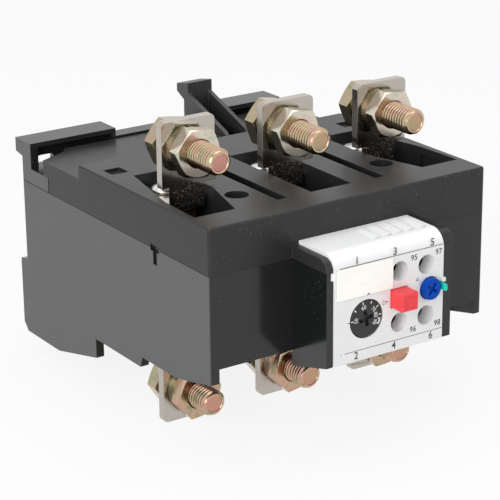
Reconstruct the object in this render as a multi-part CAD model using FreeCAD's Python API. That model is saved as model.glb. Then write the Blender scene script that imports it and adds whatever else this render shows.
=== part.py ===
"""Three-pole thermal overload relay with bolted bus bars and a front setting module.

Frame: +Z up, the front faces -Y, origin at the centre of the rear mounting pad.
Inside this file a point is given as x (from the centre line), d (behind the front face)
and h (below the top face); the function at() turns the three into the frame. All in mm.
"""

import FreeCAD, Part
import math
import os

# Housing envelope
WIDTH = 120.0
DEPTH = 138.5
COVER_H = 17.3
FRONT_H = 51.7
LEG_H = 57.0
FOOT_H = 81.3
PAD_H = 64.5
WALL = 3.4
SKIN = 3.0
FLOOR_T = 3.0
CORNER_ROUND = 1.2
RIM_ROUND = 0.8

# Rear outline
RECESS = 5.2
STEP_H = 51.0
STEP_SLOPE = 1.0
LIP_H = 1.3
LIP_DEPTH = 12.0
LIP_T = 5.4
LIP_SLOPE = 0.9
LIP_SKIN = 1.8
LIP_L = 38.0
LIP_R_END = 3.5
SHELF_H = 11.4
SHELF_T = 2.5
SHELF_REACH = 8.0
TAB_LEN = 25.5
BRIDGE_H = 4.5
SLOT_R = 1.85
SLOT_LEN = 7.8
SLOT_IN = 8.3
SLOT_H = 9.6
LOWER_HOLE_R = 2.25
LOWER_HOLE_H = 72.0

# Underside outline
BELLY_H = 62.2
HAUNCH_H = 66.4
HAUNCH_D = 47.6
HAUNCH_RUN = 1.2
HEEL_D = 80.4
HEEL_H = 74.2
HEEL_RUN = 29.6
TOE_RUN = 3.0
TOE_RISE = 3.3
TOE_LEDGE = 2.0
CHIN_BACK = 24.0
CHIN_MID = 16.6
CHIN_RISE = 1.4
CHIN_FRONT = 8.0
CHIN_DROP = 1.8

# Top cover
PLATEAU = 88.8
REAR_DROP = 5.3
DECK_T = 2.5
COVER_SKIRT = 2.8
COVER_GAP = 0.8
CORNER_D = 3.5
CORNER_IN = 12.0
CORNER_RUN = 3.6
CORNER_END = 14.5
WELL_FRONT = 12.8
WELL_REAR = 65.5
WELL_W = 17.7
WELL_SIDE = 16.5
WELL_WALL = 1.8
WELL_MARGIN = 2.6
WELL_OUT = 7.4
WELL_IN = 8.6
WELL_KNEE = 33.0
WELL_ELBOW = 38.0
WELL_TAPER = 0.7
WELL_CUT = 2.5
GROOVE_W = 4.2
GROOVE_DEEP = 8.0
GROOVE_FRONT = 12.5
GROOVE_END = 75.0
GROOVE_WALL = 1.5
SCREW_WELL_R = 4.35
SCREW_WELL_D = 25.5
SCREW_WELL_OFF = 10.6
SCREW_WELL_H = 12.0
BOSS_WALL = 1.6
PIT = 6.8
PIT_IN = 4.1
PIT_D = 70.7
PIT_DEEP = 1.4
LATCH_D = 35.4
LATCH_W = 6.0
LATCH_UP = 1.3
LATCH_DOWN = 1.2
LATCH_STEM = 2.5
LATCH_LEN = 6.0
LATCH_DEEP = 1.1
POCKET_END = 3.5
POCKET_DEEP = 4.0

# Cover screws
COVER_HEAD_R = 3.5
COVER_HEAD_T = 2.6
COVER_SHANK_R = 1.7
COVER_BITE = 14.0
COVER_CROSS = (4.4, 1.0, 1.2)
PILLAR_R = 4.0
PILOT_SPARE = 2.0

# Rear hook
HOOK_X = (14.0, 25.6)
HOOK_TOE = 102.0
HOOK_TOP = 10.5
HOOK_T = 3.3
HOOK_RIB = 1.8
HOOK_SLOPE = 1.7
HOOK_NOSE = 5.0
HOOK_CHIN = 7.6
HOOK_SHOULDER = 4.7
HOOK_LIFT = 1.5

# Bus bars and their bolts
POLE_PITCH = 42.6
LUG_W = 22.4
LUG_T = 3.4
LUG_UP = 26.35
LUG_DOWN = 88.7
LUG_CLEAR = 2.0
LUG_CORNER = 2.0
BEND_R = 2.6
FOOT_W = 13.0
LINE_D = 39.6
LOAD_D = 42.4
LINE_BOLT_UP = 15.1
LOAD_BOLT_DOWN = 77.5
BOLT_R = 4.95
THREAD_PITCH_R = 4.5
BOLT_TIP = 1.0
BOLT_SPARE = 0.5
BOLT_AF = 17.0
HEX_CUT = 0.7
HEAD_T = 6.4
NUT_T = 5.2
FRONT_LOCK_T = 2.2
REAR_LOCK_T = 2.6
WASHER_T = 2.0
WASHER_R = 9.6
LOCK_R = 8.2
LOCK_SPLIT = 1.0
LINE_STUD = 12.9
LOAD_STUD = 9.5
LINE_FOOT_H = 5.0
LINE_FOOT_PAST = 1.5
LOAD_FOOT_PAST = 3.0

# Pole interiors
BLOCK_D = 46.0
BLOCK_LEN = 17.0
BLOCK_W = 13.6
BAR_SCREW_IN = 11.0
BAR_SCREW_R = 2.4
BAR_SCREW_BITE = 13.0
BAR_HEAD_R = 5.0
BAR_HEAD_T = 2.6
BAR_HEAD_ROUND = 0.9
BAR_CROSS = (5.6, 1.2, 1.4)
HEATER_GAP = 0.4
HEATER_T = 1.0
HEATER_W = 10.0
HEATER_WEB = 2.4
HEATER_SLOT = 1.4
HEATER_TURNS = 6
BIMETAL_T = 1.0
BIMETAL_AHEAD = 1.6
BIMETAL_BEHIND = 2.0
BIMETAL_DROP = 1.0

# Trip linkage and contacts
PARTITION_T = 2.0
SLIDER_H = 14.5
SLIDER_T = 3.0
SLIDER_D = (70.0, 74.0)
SLIDER_PAST = 5.4
SLIDER_ROOM = 2.0
FINGER_OFF = 0.9
FINGER_T = 1.7
FINGER_LEN = 6.0
FORK_T = 1.6
LEVER_OFF = 4.2
LEVER_PIVOT_D = 41.0
LEVER_H = (18.6, 21.6)
LEVER_HALF = 1.2
HUB_R = 3.2
PIVOT_R = 1.5
PIVOT_PROUD = 0.4
CONTACT_FRONT = 5.0
CONTACT_DEEP = 9.0
CONTACT_L = -12.0
CONTACT_PAST = 3.0
CARRIAGE_IN = 1.0
CARRIAGE_T = 5.0
CARRIAGE_L = -8.0
CARRIAGE_DROP = 1.4
BRIDGE_XS = (-5.0, 9.0)
BRIDGE_W = 7.0
BRIDGE_T = 0.8

# Front module
PROUD = 21.15
CAP_W = 47.2
CAP_SHIFT = 0.4
CHEEK_LEFT = 2.9
CHEEK_RIGHT = 4.3
CHEEK_BACK = 0.85
CASE_DROP = 5.9
CASE_LIP = 0.3
CAP_TOP = 11.5
CAP_ROUND = 6.2
CAP_T = 2.2
CAP_ROOF = 1.8
CAP_SIDE = 1.5
CAP_SKIRT = 4.5
HOOD_TOP = 12.7
HOOD_ROUND = 4.3
HOOD_OVER = 0.8
CLIP_OUT = 1.0
CLIP_D = (1.0, 3.0)
CLIP_DROP = 0.3
CLIP_TALL = 2.7
PLATE_T = 2.4
PLATE_OFF = 0.8
LABEL_TOP = 16.5
LABEL_H = 11.4
LABEL_T = 0.5
LABEL_IN = 0.8
LABEL_OVER = 0.4
LABEL_ROUND = 0.15

# Auxiliary terminals
TERM_R = 3.6
TERM_COL = 11.8
TERM_EDGE = 7.6
TERM_TOP = 22.4
TERM_ROW = 19.0
TUBE_R = 4.35
TUBE_LEN = 6.5
AUX_LEFT = 5.6
AUX_RIGHT = 5.4
AUX_GAP = 9.8
AUX_WALL = 1.6
AUX_FACE = 2.8
AUX_TUNNEL = (6.4, 5.8)
AUX_RIM = 0.1
WIRE_IN = 3.6
WIRE_SIZE = (5.8, 6.4)
AUX_HEAD_IN = 0.6
AUX_HEAD_R = 3.1
AUX_HEAD_T = 2.2
AUX_CROSS = (4.4, 0.9, 1.0)
CLAMP_SIZE = (6.8, 1.0, 5.4)

# Setting dial
DIAL_R = 6.85
DIAL_IN = 13.5
DIAL_H = 36.8
DIAL_T = 3.2
DIAL_SUNK = 0.15
DIAL_ROUND = 0.3
DIAL_SHAFT_R = 2.5
DIAL_SHAFT_PAST = 1.5
DIAL_CROSS = (5.8, 1.5, 1.2)
DIAL_TURN = -12.0
CAM_R = 4.6
CAM_OFF = 1.2
CAM_T = 3.0
CAM_GAP = 2.0

# Buttons, knob and pin
STEM_R = 1.8
COIL_R = 2.6
COIL_WIRE_R = 0.3
COIL_TURNS = 5
BUTTON_W = 7.2
BUTTON_H = 6.7
BUTTON_SHIFT = 0.2
BUTTON_OUT = 6.4
BUTTON_IN = 0.6
BUTTON_TRAVEL = 3.0
BUTTON_ROUND = 0.6
MARK_R = 2.3
MARK_W = 0.35
MARK_DEEP = 0.2
MARK_OFF = 0.6
KNOB_R = 4.0
KNOB_SHIFT = 1.5
KNOB_LIFT = 0.4
KNOB_OUT = 1.8
KNOB_IN = 4.2
KNOB_TRAVEL = 1.0
KNOB_ROUND = 0.4
KNOB_CROSS = (4.8, 1.0, 1.3)
KNOB_TURN = 35.0
SOCKET_IN = 1.6
COLLAR_R = 3.4
COLLAR_T = 1.2
TAB_OUT = 1.2
TAB_W = 1.6
TAB_ROOT = 1.0
TAB_SINK = 0.1
TAB_TURN = 38.0
FLAG_W = 1.4
FLAG_TALL = 2.7
FLAG_OUT = 3.2
FLAG_TRAVEL = 2.8
FLAG_ROUND = 0.3
GUARD_W = 1.4
GUARD_TALL = 1.4
GUARD_OUT = 1.5

# Working gaps, the overlap of joined pieces and the reach of a cutting tool
FIT = 0.05
SLIDE = 0.2
LOOSE = 0.3
BITE = 0.1
PAST = 1.0

TOP = PAD_H
POLES = (-POLE_PITCH, 0.0, POLE_PITCH)
PARTITIONS = (-POLE_PITCH / 2, POLE_PITCH / 2)
HALF = WIDTH / 2
WALL_D = DEPTH - RECESS
REAR_SKIN_D = WALL_D - SKIN
LIP_D = DEPTH - LIP_DEPTH
TAB_D = DEPTH - TAB_LEN
COVER_END = LIP_D - COVER_GAP
FLOOR_TOP = FRONT_H - FLOOR_T
LOAD_FOOT_H = FLOOR_TOP - LUG_T
BLOCK_TOP = LINE_FOOT_H + LUG_T
BLOCK_END = BLOCK_D + BLOCK_LEN
BAR_SCREW_D = BLOCK_D + BAR_SCREW_IN
CAP_L = CAP_SHIFT - CAP_W / 2
CAP_R = CAP_SHIFT + CAP_W / 2
CASE_L = CAP_L - CHEEK_LEFT
CASE_R = CAP_R + CHEEK_RIGHT
CASE_FRONT = CHEEK_BACK - PROUD
TERM_XS = (CAP_R - TERM_EDGE - TERM_COL, CAP_R - TERM_EDGE)
TERM_HS = (TERM_TOP, TERM_TOP + TERM_ROW)
MID_H = TERM_TOP + TERM_ROW / 2
BUTTON_X = TERM_XS[0] - BUTTON_SHIFT
KNOB_X = TERM_XS[1] + KNOB_SHIFT
KNOB_H = MID_H - KNOB_LIFT
KNOB_BACK = KNOB_IN - PROUD
FLAG_X = KNOB_X + KNOB_R + LOOSE + FLAG_W / 2
DIAL_X = CAP_L + DIAL_IN
BACK_PLATE = (-PLATE_OFF - PLATE_T, -PLATE_OFF)
AUX_FRONT = TUBE_LEN - PROUD
BUTTON_BACK = AUX_FRONT + BUTTON_IN
LEVER_X = POLE_PITCH / 2 + LEVER_OFF
SCREW_WELL_X = POLE_PITCH / 2 + SCREW_WELL_OFF
CARRIAGE_D = (CONTACT_FRONT + CARRIAGE_IN, CONTACT_FRONT + CARRIAGE_IN + CARRIAGE_T)
CARRIAGE_H = (LEVER_H[0], LEVER_H[1] + CARRIAGE_DROP)
BUTTON_END = CONTACT_FRONT - LOOSE - BUTTON_TRAVEL
KNOB_END = CONTACT_FRONT - LOOSE - KNOB_TRAVEL
FLAG_END = CONTACT_FRONT - LOOSE - FLAG_TRAVEL

X_AXIS = FreeCAD.Vector(1, 0, 0)
Y_AXIS = FreeCAD.Vector(0, 1, 0)
Z_AXIS = FreeCAD.Vector(0, 0, 1)


def at(x, d, h):
    return FreeCAD.Vector(x, d - DEPTH, TOP - h)


def box(x, d, h):
    return Part.makeBox(x[1] - x[0], d[1] - d[0], h[1] - h[0], at(x[0], d[0], h[1]))


def span(middle, length):
    return (middle - length / 2, middle + length / 2)


def rod(x, h, r, d):
    return Part.makeCylinder(r, d[1] - d[0], at(x, d[0], h), Y_AXIS)


def post(x, d, r, h):
    return Part.makeCylinder(r, h[1] - h[0], at(x, d, h[1]), Z_AXIS)


def ring(x, h, outer, inner, d):
    return rod(x, h, outer, d).cut(rod(x, h, inner, (d[0] - PAST, d[1] + PAST)))


def cross_ahead(x, h, size, face):
    """Cross-shaped cutter that enters a part from the front at depth face."""
    length, width, deep = size
    d = (face - PAST, face + deep)
    return box(span(x, length), d, span(h, width)).fuse(box(span(x, width), d, span(h, length)))


def cross_above(x, d, size, face):
    """Cross-shaped cutter that enters a part from above at height face."""
    length, width, deep = size
    h = (face - PAST, face + deep)
    return box(span(x, length), span(d, width), h).fuse(box(span(x, width), span(d, length), h))


def prism(points, along):
    face = Part.Face(Part.makePolygon(points + points[:1]))
    return face.extrude(along)


def side_plate(points, x):
    return prism([at(x[0], d, h) for d, h in points], FreeCAD.Vector(x[1] - x[0], 0, 0))


def plan_plate(points, h):
    return prism([at(x, d, h[0]) for x, d in points], FreeCAD.Vector(0, 0, h[0] - h[1]))


def front_plate(points, d):
    return prism([at(x, d[0], h) for x, h in points], FreeCAD.Vector(0, d[1] - d[0], 0))


def join(first, *rest):
    return first.fuse(list(rest)).removeSplitter()


def carve(body, *tools):
    return body.cut(list(tools))


def both_sides(shape):
    return [shape, shape.mirror(FreeCAD.Vector(0, 0, 0), X_AXIS)]


def soften(shape, radius, keep):
    edges = [e for e in shape.Edges if keep(e)]
    return shape.makeFillet(radius, edges)


def runs_along(edge, axis):
    if not isinstance(edge.Curve, Part.Line):
        return False
    return abs(abs(edge.Curve.Direction.dot(axis)) - 1.0) < 1e-6


def is_round(edge):
    return isinstance(edge.Curve, Part.Circle)


def height_of(edge):
    return TOP - edge.CenterOfMass.z


def depth_of(edge):
    return edge.CenterOfMass.y + DEPTH


# ---------------------------------------------------------------- base housing
def base_outline():
    return [
        (0, COVER_H),
        (TAB_D, COVER_H),
        (TAB_D, SHELF_H),
        (LIP_D, SHELF_H),
        (LIP_D, LIP_H),
        (DEPTH, LIP_H),
        (DEPTH, LIP_H + LIP_T),
        (WALL_D, LIP_H + LIP_T + LIP_SLOPE),
        (WALL_D, STEP_H - STEP_SLOPE),
        (DEPTH, STEP_H),
        (DEPTH, FOOT_H - TOE_RISE),
        (DEPTH - TOE_RUN, FOOT_H),
        (HEEL_D + HEEL_RUN, FOOT_H),
        (HEEL_D, HEEL_H),
        (HEEL_D, HAUNCH_H),
        (HAUNCH_D, HAUNCH_H),
        (HAUNCH_D - HAUNCH_RUN, BELLY_H),
        (CHIN_BACK, BELLY_H),
        (CHIN_MID, BELLY_H - CHIN_RISE),
        (CHIN_FRONT, LEG_H + CHIN_DROP),
        (0, LEG_H),
    ]


def side_walls():
    left = side_plate(base_outline(), (-HALF, WALL - HALF))
    left = soften(left, CORNER_ROUND, lambda e: runs_along(e, Z_AXIS) and depth_of(e) < BITE and
                  e.CenterOfMass.x < BITE - HALF)
    right = side_plate(base_outline(), (HALF - WALL, HALF))
    right = soften(right, CORNER_ROUND, lambda e: runs_along(e, Z_AXIS) and depth_of(e) < BITE and
                   e.CenterOfMass.x > HALF - BITE)
    clip = box((HALF - LIP_R_END, HALF + PAST), (LIP_D, DEPTH + PAST), (LIP_H - PAST, LIP_H + LIP_T))
    return [left, right.cut(clip)]


def rear_wall():
    inner = (WALL - HALF, HALF - WALL)
    foot = FOOT_H - WALL
    skin = box(inner, (REAR_SKIN_D, WALL_D), (BRIDGE_H, FRONT_H))
    step_top = box(inner, (REAR_SKIN_D, DEPTH), (STEP_H, STEP_H + SKIN))
    step = box(inner, (DEPTH - WALL, DEPTH), (STEP_H, foot))
    toe = side_plate([(HEEL_D + HEEL_RUN, FOOT_H - SKIN), (DEPTH - WALL, FOOT_H - SKIN),
                      (DEPTH - WALL, foot - TOE_LEDGE), (DEPTH, foot - TOE_LEDGE),
                      (DEPTH, FOOT_H - TOE_RISE), (DEPTH - TOE_RUN, FOOT_H),
                      (HEEL_D + HEEL_RUN, FOOT_H)], inner)
    return [skin, step_top, step, toe]


def lip(x):
    low = LIP_H + LIP_T + LIP_SLOPE
    return side_plate([(LIP_D, LIP_H), (DEPTH, LIP_H), (DEPTH, LIP_H + LIP_T), (WALL_D, low),
                       (REAR_SKIN_D, low), (REAR_SKIN_D, LIP_H + LIP_SKIN),
                       (LIP_D, LIP_H + LIP_SKIN)], x)


def rear_lips():
    left_end = LIP_L - HALF
    right_end = HOOK_X[1] + LOOSE
    caps = [box(x, (LIP_D, WALL_D), (LIP_H, LIP_H + LIP_T))
            for x in ((left_end - LIP_SKIN, left_end), (right_end, right_end + LIP_SKIN))]
    bridge = box((left_end - LIP_SKIN, right_end + LIP_SKIN), (LIP_D, WALL_D),
                 (BRIDGE_H, BRIDGE_H + LIP_SKIN))
    return [lip((WALL - HALF, left_end)), lip((right_end, HALF - LIP_R_END)), bridge] + caps


def corner_shelf():
    return box((WALL - HALF - BITE, SLOT_IN + SHELF_REACH - HALF), (TAB_D, REAR_SKIN_D + BITE),
               (SHELF_H, SHELF_H + SHELF_T))


def partition(x):
    front, rear = LEVER_PIVOT_D + SLIDER_ROOM, REAR_SKIN_D + BITE
    gap = (SLIDER_D[0] - SLIDER_ROOM, SLIDER_D[1] + SLIDER_ROOM)
    outline = [(front, COVER_H), (gap[0], COVER_H), (gap[0], SLIDER_H), (gap[1], SLIDER_H),
               (gap[1], COVER_H), (rear, COVER_H), (rear, FLOOR_TOP + BITE),
               (front, FLOOR_TOP + BITE)]
    return side_plate(outline, span(x, PARTITION_T))


def screw_pillar(x):
    shaft = post(x, SCREW_WELL_D, PILLAR_R, (COVER_H, FLOOR_TOP + BITE))
    pilot = (COVER_H - PAST, COVER_H + COVER_BITE + PILOT_SPARE)
    return shaft.cut(post(x, SCREW_WELL_D, COVER_SHANK_R + FIT, pilot))


def lever_post():
    foot = post(LEVER_X, LEVER_PIVOT_D, HUB_R, (LEVER_H[1], FLOOR_TOP + BITE))
    pin = post(LEVER_X, LEVER_PIVOT_D, PIVOT_R, (LEVER_H[0] - PIVOT_PROUD, LEVER_H[1] + PAST))
    return foot.fuse(pin)


def latch_recess():
    x = (-HALF - PAST, LATCH_DEEP - HALF)
    cap = box(x, span(LATCH_D, LATCH_W), (COVER_H - LATCH_UP, COVER_H + LATCH_DOWN))
    stem = box(x, span(LATCH_D, LATCH_STEM), (COVER_H, COVER_H + LATCH_LEN))
    return cap.fuse(stem)


def upright_bar(x, h, width, tall, d):
    """Upright bar along d whose section has a half round at each end."""
    half = (tall - width) / 2
    ends = [rod(x, h - half, width / 2, d), rod(x, h + half, width / 2, d)]
    return join(box(span(x, width), d, (h - half, h + half)), *ends)


def mounting_slot(x):
    half = SLOT_LEN / 2 - SLOT_R
    d = (REAR_SKIN_D - PAST, DEPTH + PAST)
    ends = [rod(x - half, SLOT_H, SLOT_R, d), rod(x + half, SLOT_H, SLOT_R, d)]
    return box((x - half, x + half), d, (SLOT_H - SLOT_R, SLOT_H + SLOT_R)).fuse(ends)


def load_slot(pole):
    return box(span(pole, FOOT_W + 2 * LOOSE), (LOAD_D - LOOSE, LOAD_D + LUG_T + LOOSE),
               (FLOOR_TOP - PAST, FRONT_H + PAST))


def base_housing():
    inner = (WALL - HALF - BITE, HALF - WALL + BITE)
    front = box(inner, (0, SKIN), (COVER_H, FRONT_H))
    floor = box(inner, (0, REAR_SKIN_D + BITE), (FLOOR_TOP, FRONT_H))
    parts = side_walls() + rear_wall() + rear_lips() + [floor]
    parts += both_sides(corner_shelf())
    parts += [partition(x) for x in PARTITIONS]
    parts += [screw_pillar(x) for x in (-SCREW_WELL_X, SCREW_WELL_X)]
    parts.append(lever_post())
    body = join(front, *parts)
    cuts = both_sides(latch_recess()) + both_sides(mounting_slot(HALF - SLOT_IN))
    cuts += [rod(x, LOWER_HOLE_H, LOWER_HOLE_R, (DEPTH - WALL - PAST, DEPTH + PAST))
             for x in PARTITIONS]
    cuts += [load_slot(pole) for pole in POLES]
    cuts.append(box((CAP_L + CAP_SIDE, FLAG_X + FLAG_W / 2 + LOOSE), (-PAST, SKIN + PAST),
                    (COVER_H - PAST, FLOOR_TOP)))
    return carve(body, *cuts)


# ------------------------------------------------------------------- top cover
def well_outline(pole, grow):
    front, rear = WELL_FRONT - grow, WELL_REAR + grow
    if pole == 0:
        half = WELL_W / 2 + grow
        return [(-half, front), (half, front), (half, rear), (-half, rear)]
    side = math.copysign(1, pole)
    outer = HALF - WELL_MARGIN
    inner = abs(pole) - WELL_IN - grow
    points = [(abs(pole) + WELL_OUT + grow, rear), (outer - WELL_TAPER, WELL_KNEE),
              (outer, WELL_FRONT + WELL_CUT), (outer, front), (outer - WELL_SIDE - grow, front),
              (inner, WELL_ELBOW), (inner, rear)]
    return [(side * x, d) for x, d in points]


def wells(grow, h):
    return [plan_plate(well_outline(pole, grow), h) for pole in POLES]


def cover_plan(front, back, gap):
    """Outline of the rear part of the cover, moved inward from the sides by gap."""
    half = HALF - gap
    right = [(half, front), (half, TAB_D + CORNER_D), (half - CORNER_IN, back - CORNER_RUN),
             (half - CORNER_END, back)]
    return right + [(-x, d) for x, d in reversed(right)]


def cover_shell():
    t = COVER_SKIRT
    plateau = box((-HALF, HALF), (0, PLATEAU), (0, COVER_H))
    plateau = soften(plateau, CORNER_ROUND, lambda e: runs_along(e, Z_AXIS) and depth_of(e) < BITE)
    plateau = soften(plateau, RIM_ROUND, lambda e: height_of(e) < BITE / 2)
    rear = plan_plate(cover_plan(PLATEAU - PAST, COVER_END, 0), (REAR_DROP, COVER_H))
    outer = plateau.fuse(rear).removeSplitter()
    hollow_front = box((t - HALF, HALF - t), (t, PLATEAU - t), (SKIN, COVER_H + PAST))
    hollow_rear = plan_plate(cover_plan(PLATEAU - t - BITE, COVER_END - t, t),
                             (REAR_DROP + DECK_T, COVER_H + PAST))
    return carve(outer, hollow_front, hollow_rear)


def tab_notch():
    return box((-HALF - PAST, SLOT_IN + SHELF_REACH + LOOSE - HALF),
               (TAB_D - 2 * LOOSE, COVER_END + PAST), (SHELF_H, COVER_H + PAST))


def groove(x, grow, top):
    return box(span(x, GROOVE_W + 2 * grow), (GROOVE_FRONT - grow, GROOVE_END + grow),
               (top, GROOVE_DEEP + grow))


def hood_cheek(x):
    block = box(x, (CASE_FRONT, BITE), (HOOD_TOP, COVER_H))
    return soften(block, HOOD_ROUND, lambda e: runs_along(e, X_AXIS) and
                  depth_of(e) < CASE_FRONT + BITE and height_of(e) < HOOD_TOP + BITE)


def hook_pocket():
    return box((HOOK_X[0] + HOOK_RIB, HOOK_X[1] - HOOK_RIB),
               (HOOK_TOE + HOOK_LIFT, COVER_END - POCKET_END), (REAR_DROP - PAST, REAR_DROP + POCKET_DEEP))


def top_cover():
    screws = (-SCREW_WELL_X, SCREW_WELL_X)
    adds = wells(WELL_WALL, (SKIN - BITE, COVER_H))
    adds += [groove(x, GROOVE_WALL, SKIN - BITE) for x in PARTITIONS]
    adds += [post(x, SCREW_WELL_D, SCREW_WELL_R + BOSS_WALL, (SKIN - BITE, COVER_H)) for x in screws]
    adds += [hood_cheek((CASE_L, CAP_L - SLIDE)), hood_cheek((CAP_R + SLIDE, CASE_R + HOOD_OVER))]
    body = join(cover_shell(), *adds)
    cuts = wells(0.0, (-PAST, COVER_H + PAST))
    cuts += [groove(x, 0.0, -PAST) for x in PARTITIONS]
    cuts += [post(x, SCREW_WELL_D, SCREW_WELL_R, (-PAST, SCREW_WELL_H)) for x in screws]
    cuts += [post(x, SCREW_WELL_D, COVER_SHANK_R + LOOSE, (0, COVER_H + PAST)) for x in screws]
    cuts += both_sides(box((PIT_IN - HALF, PIT_IN + PIT - HALF), (PIT_D, PIT_D + PIT), (-PAST, PIT_DEEP)))
    cuts += both_sides(latch_recess())
    cuts += both_sides(tab_notch())
    cuts.append(hook_pocket())
    return carve(body, *cuts)


def cover_screws():
    solids = []
    for x in (-SCREW_WELL_X, SCREW_WELL_X):
        top = SCREW_WELL_H - COVER_HEAD_T
        head = post(x, SCREW_WELL_D, COVER_HEAD_R, (top, SCREW_WELL_H))
        shank = post(x, SCREW_WELL_D, COVER_SHANK_R, (SCREW_WELL_H - BITE, COVER_H + COVER_BITE))
        solids.append(head.fuse(shank).cut(cross_above(x, SCREW_WELL_D, COVER_CROSS, top)))
    return Part.makeCompound(solids)


# ------------------------------------------------------------------- rear hook
def rear_hook():
    front = WALL_D - HOOK_T
    tip = -HOOK_TOP
    stem = side_plate([(front, BRIDGE_H), (front, tip), (DEPTH, tip + HOOK_SLOPE), (DEPTH, tip + HOOK_NOSE),
                       (WALL_D, tip + HOOK_CHIN), (WALL_D, BRIDGE_H)], HOOK_X)
    rib = [(front + BITE, BRIDGE_H), (LIP_D, BRIDGE_H), (LIP_D - COVER_GAP / 2, REAR_DROP),
           (HOOK_TOE, REAR_DROP), (HOOK_TOE + HOOK_LIFT, REAR_DROP - HOOK_LIFT),
           (front + BITE, tip + HOOK_SHOULDER)]
    left = side_plate(rib, (HOOK_X[0], HOOK_X[0] + HOOK_RIB))
    right = side_plate(rib, (HOOK_X[1] - HOOK_RIB, HOOK_X[1]))
    return join(stem, left, right)


# -------------------------------------------------------------------- bus bars
def lug_plate(pole, d, h, end):
    lug = box(span(pole, LUG_W), d, h)
    return soften(lug, LUG_CORNER, lambda e: runs_along(e, Y_AXIS) and abs(height_of(e) - end) < BITE)


def line_bar(pole):
    d = (LINE_D, LINE_D + LUG_T)
    lug = lug_plate(pole, d, (-LUG_UP, -LUG_CLEAR), -LUG_UP)
    neck = box(span(pole, FOOT_W), d, (-LUG_CLEAR - BITE, BLOCK_TOP))
    foot = box(span(pole, FOOT_W), (LINE_D, BLOCK_END + LINE_FOOT_PAST), (LINE_FOOT_H, BLOCK_TOP))
    bar = join(lug, neck, foot)
    bar = soften(bar, BEND_R, lambda e: runs_along(e, X_AXIS) and depth_of(e) < LINE_D + BITE and
                 height_of(e) > LINE_FOOT_H)
    hole = rod(pole, -LINE_BOLT_UP, BOLT_R + LOOSE, (LINE_D - PAST, LINE_D + LUG_T + PAST))
    screw = post(pole, BAR_SCREW_D, BAR_SCREW_R + LOOSE, (LINE_FOOT_H - PAST, BLOCK_TOP + PAST))
    return carve(bar, hole, screw)


def load_bar(pole):
    d = (LOAD_D, LOAD_D + LUG_T)
    shoulder = BELLY_H - LUG_CLEAR
    lug = lug_plate(pole, d, (shoulder, LUG_DOWN), LUG_DOWN)
    neck = box(span(pole, FOOT_W), d, (LOAD_FOOT_H, shoulder + BITE))
    foot = box(span(pole, FOOT_W), (LOAD_D, SLIDER_D[1] + LOAD_FOOT_PAST), (LOAD_FOOT_H, FLOOR_TOP))
    bar = join(lug, neck, foot)
    bar = soften(bar, BEND_R, lambda e: runs_along(e, X_AXIS) and depth_of(e) < LOAD_D + BITE and
                 height_of(e) < LOAD_FOOT_H + BITE)
    return bar.cut(rod(pole, LOAD_BOLT_DOWN, BOLT_R + LOOSE, (LOAD_D - PAST, LOAD_D + LUG_T + PAST)))


def bevelled_hex(x, h, flats, d):
    r = flats / math.sqrt(3.0)
    corners = [(x + r * math.cos(k * math.pi / 3), h + r * math.sin(k * math.pi / 3)) for k in range(6)]
    core = rod(x, h, r, d)
    core = core.makeChamfer(HEX_CUT, [e for e in core.Edges if is_round(e)])
    return front_plate(corners, d).common(core)


def stack(front, up):
    """Depths of the parts of one bolted joint around a lug whose front face is at front."""
    lock = front - FRONT_LOCK_T
    nut_front = lock - NUT_T
    washer = front + LUG_T
    rear_lock = washer + WASHER_T
    head = rear_lock + REAR_LOCK_T
    return {
        "thread": (nut_front - up, nut_front - LOOSE),
        "core": (nut_front - LOOSE - BITE, head + BOLT_SPARE),
        "nut": (nut_front, lock),
        "front_lock": (lock, front),
        "washer": (washer, rear_lock),
        "rear_lock": (rear_lock, head),
        "head": (head, head + HEAD_T),
    }


def bolt(x, h, depths):
    """Hexagon bolt; where the nut sits on it the thread is drawn at its pitch radius."""
    thread = rod(x, h, BOLT_R, depths["thread"])
    tip = [e for e in thread.Edges if is_round(e) and depth_of(e) < depths["thread"][0] + BITE]
    thread = thread.makeChamfer(BOLT_TIP, tip)
    core = rod(x, h, THREAD_PITCH_R, depths["core"])
    return join(core, thread, bevelled_hex(x, h, BOLT_AF, depths["head"]))


def nut(x, h, depths):
    body = bevelled_hex(x, h, BOLT_AF, depths["nut"])
    front, back = depths["nut"]
    return body.cut(rod(x, h, THREAD_PITCH_R + FIT, (front - PAST, back + PAST)))


def split_ring(x, h, d):
    body = ring(x, h, LOCK_R, BOLT_R + LOOSE, d)
    return body.cut(box(span(x, LOCK_SPLIT), (d[0] - PAST, d[1] + PAST), (h - LOCK_R - PAST, h)))


def fasteners(kind, front, h, up):
    depths = stack(front, up)
    solids = []
    for pole in POLES:
        if kind == "bolts":
            solids.append(bolt(pole, h, depths))
        elif kind == "nuts":
            solids.append(nut(pole, h, depths))
        elif kind == "washers":
            solids.append(ring(pole, h, WASHER_R, BOLT_R + LOOSE, depths["washer"]))
        else:
            solids.append(split_ring(pole, h, depths["front_lock"]))
            solids.append(split_ring(pole, h, depths["rear_lock"]))
    return Part.makeCompound(solids)


# ------------------------------------------------------------ inside the poles
def pole_block(pole):
    body = box(span(pole, BLOCK_W), (BLOCK_D, BLOCK_END), (BLOCK_TOP, LOAD_FOOT_H))
    bore = (BLOCK_TOP - PAST, BLOCK_TOP + BAR_SCREW_BITE + PILOT_SPARE)
    return body.cut(post(pole, BAR_SCREW_D, BAR_SCREW_R + FIT, bore))


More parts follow.
